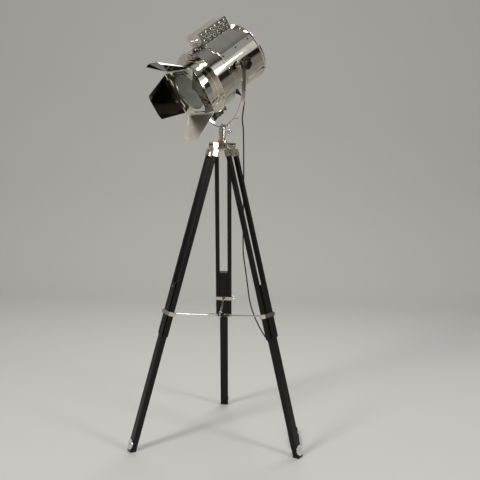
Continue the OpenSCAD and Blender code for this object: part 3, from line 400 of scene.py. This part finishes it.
FINISH = {
    "polished_sheet": polished_metal("polished_nickel_sheet", ("#dedad0", "#d0cabe"),
                                     gloss=(0.06, 0.09), wave=80, wave_depth=1.0),
    "polished_nickel": polished_metal("polished_nickel_plate", ("#ebe7dd", "#d8d2c5"),
                                      gloss=(0.12, 0.22), wave=30, wave_depth=0.4),
    # painted highlight: the bottom leaf is the same polished door sheet made lighter
    "bright_leaf": polished_metal("painted_lit_leaf_sheet", ("#f2eee2", "#e6dfce"),
                                  gloss=(0.28, 0.33), wave=90, wave_depth=0.6),
    "cast_nickel": cast_nickel(),
    "strip": satin_strip(),
    "chrome_steel": chrome(),
    "dark_metal": dark_nickel_and_painted_shade("black_nickel_casting", ("#2a2622", "#4a443d"), gloss=(0.2, 0.34)),
    # painted shade: the top, right and left leaves are the polished door sheet made dark
    "dark_sheet": dark_nickel_and_painted_shade("painted_shade_sheet", ("#36332d", "#47433c"), gloss=(0.08, 0.14)),
    "black_wood": black_lacquered_wood(),
    "frosted_glass": frosted_glass(),
    "lamp_glass": bulb_glass(),
    "black_rubber": black_pvc(),
}


# ---- modelling helpers -----------------------------------------------------------

def choose(piece):
    """Selects one piece alone and makes it active."""
    bpy.ops.object.select_all(action="DESELECT")
    piece.select_set(True)
    bpy.context.view_layer.objects.active = piece
    return piece


def start_edit(piece):
    """Opens edit mode on a piece, all of it selected."""
    choose(piece)
    bpy.ops.object.mode_set(mode="EDIT")
    bpy.ops.mesh.select_all(action="SELECT")


def end_edit():
    """Turns all faces outwards and closes edit mode."""
    bpy.ops.mesh.select_all(action="SELECT")
    bpy.ops.mesh.normals_make_consistent(inside=False)
    bpy.ops.object.mode_set(mode="OBJECT")


def rounded(piece, width, segments, limit=25):
    """Bevels the edges whose faces meet at more than limit degrees, by width in mm."""
    choose(piece)
    bpy.ops.object.mode_set(mode="EDIT")
    bpy.ops.mesh.select_mode(type="EDGE")
    bpy.ops.mesh.select_all(action="DESELECT")
    mesh = bmesh.from_edit_mesh(piece.data)
    for edge in mesh.edges:
        if len(edge.link_faces) == 2 and edge.calc_face_angle(0) > radians(limit):
            edge.select_set(True)
    mesh.select_flush_mode()
    bmesh.update_edit_mesh(piece.data)
    bpy.ops.mesh.bevel(offset=width * MM, segments=segments, affect="EDGES")
    bpy.ops.object.mode_set(mode="OBJECT")
    return piece


def new_piece(points, edges, faces):
    """A mesh piece from points in metres."""
    mesh = bpy.data.meshes.new("piece")
    mesh.from_pydata(points, edges, faces)
    piece = bpy.data.objects.new("piece", mesh)
    bpy.context.scene.collection.objects.link(piece)
    return choose(piece)


def from_outline(points, edges, faces=()):
    """A mesh piece from points in mm."""
    return new_piece([(x * MM, y * MM, z * MM) for x, y, z in points], edges, faces)


def turned(profile, steps, ring=False):
    """Spins a profile of (radius, height) points in mm about Z. A ring's profile is closed."""
    count = len(profile)
    edges = [(k, (k + 1) % count) for k in range(count if ring else count - 1)]
    piece = from_outline([(r, 0, z) for r, z in profile], edges)
    start_edit(piece)
    bpy.ops.mesh.spin(steps=steps, angle=tau, center=(0, 0, 0), axis=(0, 0, 1))
    bpy.ops.mesh.select_all(action="SELECT")
    bpy.ops.mesh.remove_doubles(threshold=1e-6)
    end_edit()
    return piece


def plate(outline, thickness):
    """A flat plate from a closed outline of (x, y) points in mm, with its top thickness up."""
    piece = from_outline([(x, y, 0) for x, y in outline], [], [tuple(range(len(outline)))])
    start_edit(piece)
    bpy.ops.mesh.extrude_region_move(
        TRANSFORM_OT_translate={"value": (0, 0, thickness * MM)})
    end_edit()
    return piece


def walled(points, faces, thickness, offset, even):
    """Sheet of a thickness in mm on open faces of points in mm. Offset 0 puts its middle on
    the faces, and -1 its outside. Even keeps its thickness at folds."""
    piece = from_outline(points, [], faces)
    start_edit(piece)
    end_edit()
    wall = piece.modifiers.new("wall", "SOLIDIFY")
    wall.thickness = thickness * MM
    wall.offset = offset
    wall.use_even_offset = even
    bpy.ops.object.modifier_apply(modifier=wall.name)
    return piece


def drawn_in(piece, pull, low, high):
    """Draws a turned piece's points between two heights in mm towards its axis, by the share
    that pull gives for their angle."""
    for vertex in piece.data.vertices:
        if low < vertex.co.z / MM < high:
            share = 1 - pull(atan2(vertex.co.y, vertex.co.x))
            vertex.co.x *= share
            vertex.co.y *= share


def put(piece, place):
    """Moves the piece's mesh to its place; its object stays at the origin."""
    choose(piece)
    piece.matrix_world = place @ piece.matrix_world
    bpy.ops.object.transform_apply(location=True, rotation=True, scale=True)
    return piece


def put_copies(master, places):
    """A copy of the master at each place, each with its own mesh. The master goes."""
    copies = []
    for place in places:
        twin = master.copy()
        twin.data = master.data.copy()
        bpy.context.scene.collection.objects.link(twin)
        copies.append(put(twin, place))
    bpy.data.objects.remove(master)
    return copies


def joined(*pieces):
    bpy.ops.object.select_all(action="DESELECT")
    for piece in pieces:
        piece.select_set(True)
    bpy.context.view_layer.objects.active = pieces[0]
    bpy.ops.object.join()
    return bpy.context.view_layer.objects.active


def settle(piece, name, slot, body, stands_for=(), smooth=35, finish=None):
    """Names and finishes a piece that is in its place, and fastens it to its body. Edges
    sharper than smooth degrees stay sharp."""
    choose(piece)
    bpy.ops.object.shade_smooth_by_angle(angle=radians(smooth))
    piece.name = name
    piece.data.name = name
    piece.data.materials.clear()
    piece.data.materials.append(FINISH[finish or slot])
    if body:
        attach(piece, body)
    if stands_for:
        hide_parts(*stands_for)
    return piece


# ---- cord ------------------------------------------------------------------------

# middle line from the gland to the hank on the floor, in mm
ROUTE = [
    (77.5, -50.5, 1313), (82.5, -52, 1299), (80.5, -52, 1278), (76, -47, 1236),
    (80, -38, 1200), (81, -26, 1160), (82, -14, 1120), (82, -4, 1080),
    (83, 2, 1040), (83, 4, 995), (84, 4, 945), (84, 3, 890), (85, 2, 835),
    (85, 0, 780), (87, -4, 730), (94, -10, 685), (103, -18, 630),
    (115, -30, 555), (129, -49, 512), (146, -70, 478), (168, -89, 443),
    (188, -103, 418), (203, -108.5, 396), (210, -113, 367),
    (220.5, -119.5, 323), (233, -128, 269.5), (246, -138.5, 211.5),
    (259.5, -150, 150), (269, -159, 104), (275, -166, 72.2),
    (281, -166, 48), (286, -160, 25), (292, -150, 9.5),
    (301, -137, 2.9), (310, -122, 2.7), (315.5, -108, 2.7), (317, -97, 2.7)]
# points of the whole line, counted from inside the gland, at which the cord is split
UPPER_END = 6
MIDDLE_END = 12
ROUTE_STEPS = 6
FLOOR_GAP = 0.2
TIE_WIDTH, TIE_T, TIE_GAP = 8, 0.9, 0.6


def gland_point(beyond):
    """A point on the gland's axis, in mm beyond its mouth."""
    mouth = HOUSING_R + GLAND_LEN + beyond
    return HEAD @ around(GLAND_ANGLE) @ Vector((GLAND_A * MM, 0, mouth * MM))


def hank_line():
    """The last of the cord: a narrow loop of three turns, each on the one below."""
    points = []
    steps = 12
    straight = (0.15, 0.5, 0.85)
    near = HANK_NEAR + HANK_BEND + CORD_R
    far = near + HANK_RUN
    rise = 2 * CORD_R
    for k in range(HANK_TURNS):
        level = CORD_R + FLOOR_GAP + k * rise
        points += [(HANK_X + HANK_BEND, near + HANK_RUN * t, level) for t in straight]
        points += [(HANK_X + HANK_BEND * cos(pi * t / steps),
                    far + HANK_BEND * sin(pi * t / steps), level) for t in range(steps + 1)]
        if k == HANK_TURNS - 1:
            break
        points += [(HANK_X - HANK_BEND, near + HANK_RUN * t, level) for t in straight[::-1]]
        points += [(HANK_X - HANK_BEND * cos(pi * t / steps),
                    near - HANK_BEND * sin(pi * t / steps),
                    level + rise * t / steps) for t in range(steps + 1)]
    return points


def smooth_line(points, steps):
    """Smooth curve through the points."""
    line = []
    for k in range(len(points) - 1):
        a, b, c, d = (Vector(points[min(max(j, 0), len(points) - 1)])
                      for j in range(k - 1, k + 3))
        for s in range(steps):
            t = s / steps
            line.append((2 * b + (c - a) * t + (2 * a - 5 * b + 4 * c - d) * t * t
                         + (3 * b - a - 3 * c + d) * t ** 3) / 2)
    line.append(Vector(points[-1]))
    return line


def tube(line, radius, sides=12):
    """A closed round tube along a line of points in metres."""
    points, faces = [], []
    side = Vector((0.3, 1, 0.1))  # a start that the cord never runs along
    for k, spot in enumerate(line):
        heading = (line[min(k + 1, len(line) - 1)] - line[max(k - 1, 0)]).normalized()
        side = (side - heading * side.dot(heading)).normalized()
        across = heading.cross(side)
        points += [spot + radius * (cos(tau * j / sides) * side + sin(tau * j / sides) * across)
                   for j in range(sides)]
    last = (len(line) - 1) * sides
    for a in range(0, last, sides):
        for j in range(sides):
            n = (j + 1) % sides
            faces.append((a + j, a + n, a + sides + n, a + sides + j))
    faces.append(tuple(range(sides))[::-1])
    faces.append(tuple(last + j for j in range(sides)))
    return new_piece(points, [], faces)


def make_cord():
    """One mains cord in three stretches, because it hangs from the turning head and yoke."""
    exits = [gland_point(beyond) for beyond in (-2, 6)]
    whole = smooth_line(exits + [Vector(p) * MM for p in ROUTE + hank_line()], ROUTE_STEPS)
    cuts = [0, UPPER_END * ROUTE_STEPS, MIDDLE_END * ROUTE_STEPS, len(whole) - 1]
    # name, nodes it stands for, bodies it hangs between, and from where to where it passes
    # from the first body to the second, in metres
    stretches = [
        ("cord_at_head", ("cord_upper",), ("head", "yoke_body"),
         (gland_point(0), (0.08, -0.038, 1.2))),
        ("cord_at_yoke", ("cord_middle",), ("yoke_body", "tripod_head"),
         ((0.08, -0.036, 1.195), (0.083, 0.002, 1.03))),
        ("cord_at_leg", ("cord_lower", "cord_hank"), ("tripod_head", "right_leg"),
         ((0.083, 0.004, 0.94), (0.085, 0.0, 0.79)))]
    on_cord = make_plug() + [cord_tie()]
    for k, (name, nodes, bodies, passing) in enumerate(stretches):
        line = whole[cuts[k]:cuts[k + 1] + 1]
        piece = settle(tube(line, CORD_R * MM), name, "black_rubber", None, nodes, smooth=60)
        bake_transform(piece)


def cord_tie():
    """Soft strap once round the middle of the hank, with the cord's own round at its corners."""
    half = HANK_BEND + CORD_R
    top = 2 * CORD_R * HANK_TURNS + TIE_GAP
    middle = HANK_NEAR + half + HANK_RUN / 2
    corners = ((half, top), (-half, top), (-half, FLOOR_GAP), (half, FLOOR_GAP))
    steps = 6
    loop = []
    for k, (x, z) in enumerate(corners):
        inner_x = x - CORD_R * (1 if x > 0 else -1)
        inner_z = z - CORD_R * (1 if z == top else -1)
        for t in range(steps + 1):
            angle = pi / 2 * (k + t / steps)
            loop.append((inner_x + CORD_R * cos(angle), inner_z + CORD_R * sin(angle)))
    count = len(loop)
    points = [(HANK_X + x, middle + side * TIE_WIDTH / 2, z) for side in (-1, 1) for x, z in loop]
    faces = [(k, (k + 1) % count, count + (k + 1) % count, count + k) for k in range(count)]
    strap = walled(points, faces, TIE_T, offset=-1, even=False)
    return settle(strap, "cord_tie_strap", "black_rubber", "right_leg")


def make_plug():
    """Moulded two-pin plug with a ribbed tail, lying at the end of the hank."""
    start = HANK_NEAR + HANK_RUN + 2 * (HANK_BEND + CORD_R) + PLUG_TAIL
    shoulder_w, shoulder_h = 3, 4
    body = [(0, 0), (9.5, 0)]
    body += [(PLUG_R - shoulder_w * (1 - sin(t * pi / 8)), shoulder_h * (1 - cos(t * pi / 8)))
             for t in range(1, 5)]
    grooves, groove_from, groove_pitch, groove_depth = 4, 7, 3.6, 0.7
    for k in range(grooves):
        z = groove_from + groove_pitch * k
        body += [(PLUG_R, z), (PLUG_R - groove_depth, z + 0.5),
                 (PLUG_R - groove_depth, z + 1.3), (PLUG_R, z + 1.8)]
    body += [(PLUG_R, PLUG_LEN - 1.2), (PLUG_R - 1.2, PLUG_LEN), (0, PLUG_LEN)]
    tail = [(0, 0), (CORD_R + 0.6, 0)]
    ribs, rib_from, rib_pitch, rib_depth = 3, 1.2, 2.8, 0.8
    for k in range(ribs):
        z = rib_from + rib_pitch * k
        r = CORD_R + 0.9 + 0.5 * k
        tail += [(r, z), (r, z + 1.4), (r - rib_depth, z + 1.7), (r - rib_depth, z + 2.5)]
    tail += [(CORD_R + 2.6, PLUG_TAIL), (CORD_R + 2.6, PLUG_TAIL + 2), (0, PLUG_TAIL + 2)]
    plug = joined(put(turned(body, 48), move(HANK_X, start, PLUG_R) @ ALONG_Y),
                  put(turned(tail, 24), move(HANK_X, start - PLUG_TAIL, PLUG_R) @ ALONG_Y))
    settle(plug, "plug_body", "black_rubber", "right_leg", ("plug",))
    pin = [(0, 0), (2.4, 0), (2.4, 17.5), (1.9, 18.7), (1.0, 19.2), (0, 19.3)]
    root = start + PLUG_LEN - 0.5
    pins = [put(turned(pin, 24), move(HANK_X + side * PIN_SIDE, root, PLUG_R) @ ALONG_Y)
            for side in (-1, 1)]
    metal = settle(joined(*pins), "plug_pins", "chrome_steel", "right_leg")
    return [plug, metal]


make_camera()
make_cord()


# ---- screws and knobs ------------------------------------------------------------

def wing_screw(name, azimuth, side):
    """Cast wing screw: a coned boss, two rounded wings and its shaft."""
    boss = turned([(0, -1), (3, -1), (3, 0), (5.5, 0), (5.6, 2), (4.8, 5.6), (3.6, 7), (0, 7.2)], 32)
    wing_r, wing_out, wing_squash, wing_t, wing_up = 6, 8, 0.8, 2.6, 6
    upright = move(0, 0, wing_up) @ turn(90, "Y") @ turn(90, "X") @ move(0, 0, -wing_t / 2)
    corners = [tau * t / 24 for t in range(24)]
    wings = []
    for sign in (1, -1):
        outline = [(wing_squash * wing_r * cos(a), sign * (wing_out + wing_r * sin(a)))
                   for a in corners]
        wings.append(put(rounded(plate(outline, wing_t), 0.9, 3), upright))
    shaft = turned([(0, -20), (2.4, -20), (3, -19), (3, 0), (0, 0)], 24)
    seat = leg_frame(azimuth) @ move(0, side * (CLAMP_SIDE + 1.8), -CLAMP_S)
    piece = put(joined(boss, *wings, shaft), seat @ turn(-90 * side, "X"))
    settle(piece, f"{name}_wing_screw_cast", "cast_nickel", f"{name}_wing", (f"{name}_wing_screw",))


def lobed_knob(radius, height, lobes, dip):
    """Round knob with finger lobes: a disc whose rim is drawn in between the lobes, and a low
    turned cap."""
    bpy.ops.mesh.primitive_cylinder_add(vertices=lobes * 12, radius=radius * MM,
                                        depth=height * MM, location=(0, 0, height / 2 * MM))
    knob = put(bpy.context.active_object, Matrix())
    drawn_in(knob, lambda angle: dip / radius * (0.5 - 0.5 * cos(lobes * angle)) ** 2,
             -1, height + 1)
    rounded(knob, 0.07 * radius, 3, limit=60)
    cap = turned([(0, height - 0.2), (0.5 * radius, height - 0.2), (0.5 * radius, 1.05 * height),
                  (0.43 * radius, 1.12 * height), (0.2 * radius, 1.16 * height),
                  (0, 1.16 * height)], 40)
    return joined(knob, cap)


def tilt_knob(name, side):
    """Lobed knob on its washer, and the stud through the yoke."""
    washer_t = 1.9
    knob = put(lobed_knob(radius=23, height=15, lobes=6, dip=3.4), move(0, 0, washer_t))
    washer = turned([(0, 0.3), (9.2, 0.3), (10, 0.7), (10, 1.5), (9.4, washer_t), (0, washer_t)],
                    40)
    stud = turned([(0, -17), (3.4, -17), (4, -16), (4, 1), (0, 1)], 24)
    piece = joined(knob, washer, stud)
    put(piece, YOKE @ move(0, side * YOKE_RO, 0) @ turn(-90 * side, "X"))
    settle(piece, f"{name}_knob_cast", "dark_metal", f"{name}_knob", (f"{name}_tilt_knob",))


def latch_knob():
    """Knurled latch screw at the foot of the front door, with a bright turned face."""
    r = LATCH_R
    knurls, knurl_depth = 24, 0.04
    knob = turned([(0, -LATCH_STUD), (2.0, -LATCH_STUD), (2.5, 1 - LATCH_STUD), (2.5, 0),
                   (r - 2, 0), (r - 2, 3), (r - 0.6, 3.2), (r, 4), (r, 14.6), (r - 1, 16),
                   (r - 2.6, 16.8), (0, 16.8)], 96)
    drawn_in(knob, lambda angle: knurl_depth * (0.5 + 0.5 * cos(knurls * angle)), 3.9, 14.7)
    face = turned([(0, 16.7), (r - 2.8, 16.7), (r - 2.8, 17.4), (r - 3.6, 18), (4, 18),
                   (3, 17.5), (0, 17.5)], 64)
    place = HEAD @ move(LATCH_FROM, LATCH_Y, LATCH_U) @ ALONG_X
    settle(put(face, place), "latch_knob_face", "chrome_steel", "latch")
    settle(put(knob, place), "latch_knob_knurled", "dark_metal", "latch", ("latch_knob",))


def socket_screw():
    """Ball-headed thumb screw: shank, collar, waisted neck and ball."""
    ball = 9.5
    collar = 14.3
    centre = collar + 2 + ball
    profile = [(0, 8.3), (2.1, 8.3), (2.5, 9), (2.5, collar), (4.7, collar), (4.7, 16.6),
               (3.6, 17.2)]
    profile += [(ball * sin(t * pi / 20), centre - ball * cos(t * pi / 20)) for t in range(3, 20)]
    profile.append((0, centre + ball))
    piece = put(turned(profile, 40), move(0, 0, SOCKET_SCREW_Z) @ ALONG_X)
    settle(piece, "socket_ball_screw", "chrome_steel", "socket_screw_body", ("socket_screw",),
           smooth=40)


def slotted_head(radius, height):
    """Raised screw head on z = 0, with a slot across it."""
    rim = 0.35
    profile = [(0, -0.2), (radius, -0.2), (radius, rim * height)]
    profile += [(radius * cos(t * pi / 10), height * (rim + (1 - rim) * sin(t * pi / 10)))
                for t in range(1, 5)]
    head = turned(profile + [(0, height)], 24)
    bpy.ops.mesh.primitive_cube_add(size=1, location=(0, 0, height * MM))
    cutter = bpy.context.active_object
    cutter.scale = (3 * radius * MM, 0.28 * radius * MM, 0.9 * height * MM)
    put(cutter, Matrix())
    choose(head)
    cut = head.modifiers.new("slot", "BOOLEAN")
    cut.object = cutter
    cut.solver = "EXACT"
    bpy.ops.object.modifier_apply(modifier=cut.name)
    bpy.data.objects.remove(cutter)
    return head


def strip_screws():
    """Three screws in each side strip, their slots at different angles."""
    first_slot, next_slot = 20, 50
    places = []
    for side in (1, -1):
        mirror = Matrix.Scale(side, 4, (0, 1, 0))
        for k, a in enumerate(STRIP_SCREWS):
            spot = HEAD @ mirror @ around(STRIP_ANGLE) @ move(a, -STRIP_SCREW_Y, STRIP_TOP)
            # the seat's own direction, without the mirror
            up = (spot.to_3x3() @ Vector((0, 0, 1))).normalized()
            upright = up.to_track_quat("Z", "Y").to_matrix().to_4x4()
            places.append(Matrix.Translation(spot.translation) @ upright
                          @ turn(first_slot + next_slot * k, "Z"))
    screws = put_copies(slotted_head(radius=3.5, height=1.8), places)
    settle(joined(*screws), "strip_screws", "dark_metal", "head")


def vent_screws():
    """Thumb screws of the vent box, and the hinge pin of the front door."""
    pieces = []
    for y in (-THUMB_SIDE, THUMB_SIDE):
        thumb = lobed_knob(radius=4.6, height=5, lobes=8, dip=0.5)
        pieces.append(put(thumb, HEAD @ move(VENT_FRONT, y, VENT_TOP - THUMB_DROP) @ ALONG_X))
    pin = turned([(0, -18), (2.6, -18), (2.6, -16.3), (1.6, -16.3), (1.6, 16.3), (2.6, 16.3),
                  (2.6, 18), (0, 18)], 24)
    pieces.append(put(pin, HEAD @ move(RING_FRONT, 0, BEZEL_R + BEZEL_HINGE_RISE) @ ALONG_Y))
    settle(joined(*pieces), "vent_thumb_screws", "chrome_steel", "head", ("head_fasteners",))


def barn_frame_screws():
    """Four screws in the face of the door frame, and the doors' hinge pins."""
    slot_angle = 35
    places = [HEAD @ move(FRAME_FRONT, y * FRAME_SCREW_GAP, side * FRAME_SCREW_R)
              @ ALONG_X @ turn(slot_angle * y, "Z") for side in (-1, 1) for y in (-1, 1)]
    pieces = put_copies(slotted_head(radius=2.2, height=1.2), places)
    end = DOOR_PIN_HALF
    for roll, _ in DOORS.values():
        pin = turned([(0, -end), (0.9, -end), (1.3, 0.5 - end), (1.3, end - 0.5), (0.9, end),
                      (0, end)], 16)
        pieces.append(put(pin, hinge_frame(roll) @ ALONG_Y))
    settle(joined(*pieces), "barn_frame_screws", "chrome_steel", "barn_frame_body",
           ("barn_frame_fasteners",))


# ---- barn doors ------------------------------------------------------------------

def barn_door(name, roll, opening):
    """A leaf of sheet that narrows to its tip, with two bent wings and rolled knuckles."""
    run = DOOR_LEN - DOOR_START
    fall = DOOR_HALF - DOOR_TIP_HALF
    fold = Vector((run, -fall, 0)).normalized()
    out = Vector((-fold.y, fold.x, 0))
    bend = Matrix.Rotation(radians(-DOOR_BEND), 3, fold)
    length = hypot(run, fall)
    wing_run = length - DOOR_WING * fall / length
    wing_width = DOOR_WING * run / length
    wing_start = 0.3
    rows = 8
    across = 7
    points = []
    for k in range(rows + 1):
        share = k / rows
        half = DOOR_HALF - fall * share
        width = wing_start + (wing_width - wing_start) * share
        edge = (Vector((DOOR_START, DOOR_HALF, 0)) + fold * (wing_run * share)
                + bend @ (out * width))
        points.append((edge.x, -edge.y, edge.z))
        points += [(DOOR_START + run * share, half * s, 0) for s in (-1, -0.5, 0, 0.5, 1)]
        points.append(tuple(edge))
    faces = [(a, a + across, a + across + 1, a + 1)
             for row in range(rows) for a in range(row * across, row * across + across - 1)]
    leaf = walled(points, faces, DOOR_T, offset=0, even=True)
    parts = [rounded(leaf, 0.3, 2, limit=60)]
    lip_end, lip_half = DOOR_START + 4, KNUCKLE_HALF - 1
    lip = plate([(0, -KNUCKLE_HALF), (lip_end, -lip_half), (lip_end, lip_half),
                 (0, KNUCKLE_HALF)], DOOR_T)
    parts.append(put(rounded(lip, 0.2, 1), move(0, 0, -DOOR_T / 2)))
    knuckles, gap, chamfer = 5, 0.4, 0.3
    pitch = 2 * KNUCKLE_HALF / knuckles
    for k in range(knuckles):
        low = -KNUCKLE_HALF + k * pitch + gap
        high = low + pitch - 2 * gap
        knuckle = turned([(0, low), (KNUCKLE_R - chamfer, low), (KNUCKLE_R, low + chamfer),
                          (KNUCKLE_R, high - chamfer), (KNUCKLE_R - chamfer, high), (0, high)], 20)
        parts.append(put(knuckle, ALONG_Y))
    # the leaf runs along +X from its pin
    piece = put(joined(*parts), hinge_frame(roll) @ turn(-opening, "Y"))
    # painted light on one sheet: the bottom leaf is painted lighter as a highlight, the others
    # darker as shade
    settle(piece, f"{name}_barn_leaf", "dark_sheet", f"{name}_door", (f"{name}_barn_door",),
           smooth=20, finish="bright_leaf" if name == "bottom" else "dark_sheet")


# ---- vent box and gland ----------------------------------------------------------

def vent_collars():
    """Raised rims that the punch left round the holes of the vent box."""
    shoulder = HOUSING_R * 2 ** 0.5 - VENT_W
    holes = int((VENT_FRONT - VENT_BACK - 2 * VENT_MARGIN) / VENT_PITCH)
    row_gap = (VENT_TOP - shoulder) / 4
    r = VENT_HOLE_R
    rim = turned([(r - 0.6, -0.2), (r - 0.8, 1.8), (r - 0.2, 2.4), (r + 0.8, 1.9), (r + 1.9, 0.3),
                  (r + 1.9, -0.2)], 20, ring=True)
    places = []
    for side in (1, -1):
        for row in (1, 2, 3):
            staggered = row == 2
            for k in range(holes + (0 if staggered else 1)):
                a = VENT_BACK + VENT_MARGIN + (k + 0.5 * staggered) * VENT_PITCH
                places.append(HEAD @ move(a, side * VENT_W, shoulder + row * row_gap)
                              @ turn(-90 * side, "X"))
    rims = put_copies(rim, places)
    settle(joined(*rims), "vent_punched_rims", "polished_nickel", "head")


def strain_relief():
    """Tapered moulded sleeve with flexing ribs where the cord leaves the housing."""
    bore = CORD_R + 0.2
    profile = [(bore, -6), (5.2, -6), (5.2, -1), (9, -0.6), (9, 3.6), (8.2, 4.6), (7.2, 5)]
    ribs, rib_from, rib_pitch, rib_r, rib_taper = 4, 6.2, 2.9, 6.6, 0.75
    for k in range(ribs):
        z = rib_from + rib_pitch * k
        r = rib_r - rib_taper * k
        profile += [(r, z), (r, z + 1.4), (r - 1.0, z + 1.7), (r - 1.0, z + 2.6)]
    profile += [(CORD_R + 1, GLAND_LEN - 0.6), (CORD_R + 0.7, GLAND_LEN), (bore, GLAND_LEN)]
    piece = turned(profile, 32, ring=True)
    put(piece, HEAD @ move(GLAND_A, 0, 0) @ around(GLAND_ANGLE) @ move(0, 0, HOUSING_R))
    settle(piece, "cord_strain_relief", "black_rubber", "head", ("cord_gland",))


# ---- build -----------------------------------------------------------------------

for leg, (azimuth, side) in LEGS.items():
    wing_screw(leg, azimuth, side)
tilt_knob("near", 1)
tilt_knob("far", -1)
latch_knob()
socket_screw()
strip_screws()
vent_screws()
barn_frame_screws()
for leaf, (roll, opening) in DOORS.items():
    barn_door(leaf, roll, opening)
vent_collars()
strain_relief()


# ---- finishes of the frame's own pieces ------------------------------------------

def soften_edges(node, width):
    """Live weld and bevel, so that a CAD piece's edges catch the light."""
    weld = node.modifiers.new("weld", "WELD")
    weld.merge_threshold = 1e-6
    edge = node.modifiers.new("edge", "BEVEL")
    edge.width = width * MM
    edge.segments = 2
    edge.limit_method = "ANGLE"
    edge.angle_limit = radians(35)
    edge.use_clamp_overlap = True


WOOD_ROUND = 1.2
SLOT_OF = {entry["node"]: entry["material_slot"] for entry in frame["record"]["subparts"]}
for name, node in frame["nodes"].items():
    node.data.materials.clear()
    node.data.materials.append(FINISH["strip" if name == "side_strips" else SLOT_OF[name]])
    if name.endswith(("_rails", "_lower_leg")):
        soften_edges(node, WOOD_ROUND)


# ---- floor and light -------------------------------------------------------------

FLOOR_SIDE = 6000
BACKDROP_Y = 2600
BACKDROP_SWEEP = 900
BACKDROP_TOP = 5000

# height in the sky as a share, and its colour there: a pale ceiling over a dark, unlit band
SKY_STRENGTH = 0.8
SKY = [(0.0, "#8c8a86"), (0.1, "#24211e"), (0.3, "#1c1a18"), (0.36, "#e4e2dc"), (0.7, "#f4f3f0"),
       (0.78, "#3a3a3a"), (1.0, "#9a9a9a")]

# name, place, what it is aimed at, its sides in metres, watts, colour
LIGHTS = [
    ("key", (-2.2, -2.6, 3.0), (0, 0, 1.2), (0.7, 2.2), 70, (1.0, 0.97, 0.92)),
    ("fill", (2.6, -1.8, 2.2), (0, 0, 1.2), (0.6, 2.2), 32, (0.95, 0.97, 1.0)),
    ("top", (0.2, 1.5, 3.1), (0, 0, 1.3), (1.6, 0.7), 32, (1, 1, 1)),
]


def make_floor():
    """Pale floor that rises into a backdrop."""
    material, _, _ = start_material("pale_floor", Roughness=0.9, Base_Color=linear("#d4d3d0"))
    profile = [(-FLOOR_SIDE, 0), (BACKDROP_Y, 0)]
    profile += [(BACKDROP_Y + BACKDROP_SWEEP * sin(t * pi / 16),
                 BACKDROP_SWEEP - BACKDROP_SWEEP * cos(t * pi / 16)) for t in range(1, 9)]
    profile.append((BACKDROP_Y + BACKDROP_SWEEP, BACKDROP_TOP))
    floor = from_outline([(-FLOOR_SIDE, y, z) for y, z in profile],
                         [(k, k + 1) for k in range(len(profile) - 1)])
    start_edit(floor)
    bpy.ops.mesh.extrude_region_move(
        TRANSFORM_OT_translate={"value": (2 * FLOOR_SIDE * MM, 0, 0)})
    end_edit()
    bpy.ops.object.shade_smooth()
    floor.name = "floor"
    floor.data.materials.append(material)


def make_world():
    """The room that the metal mirrors, in bands of height."""
    world = bpy.data.worlds.new("studio")
    world.use_nodes = True
    bpy.context.scene.world = world
    tree = world.node_tree
    background = tree.nodes["Background"].inputs
    direction = add(tree, "ShaderNodeTexCoord").outputs["Generated"]
    split = add(tree, "ShaderNodeSeparateXYZ", {"Vector": direction})
    bands = add(tree, "ShaderNodeValToRGB", {"Fac": split.outputs["Z"]}, background["Color"])
    stops = bands.color_ramp.elements
    for end, (position, colour) in zip(stops, (SKY[0], SKY[-1])):
        end.position = position
        end.color = linear(colour)
    for position, colour in SKY[1:-1]:
        stops.new(position).color = linear(colour)
    background["Strength"].default_value = SKY_STRENGTH


make_floor()
make_world()
for light in LIGHTS:
    area_light(*light)

bpy.context.scene.view_settings.view_transform = "Standard"
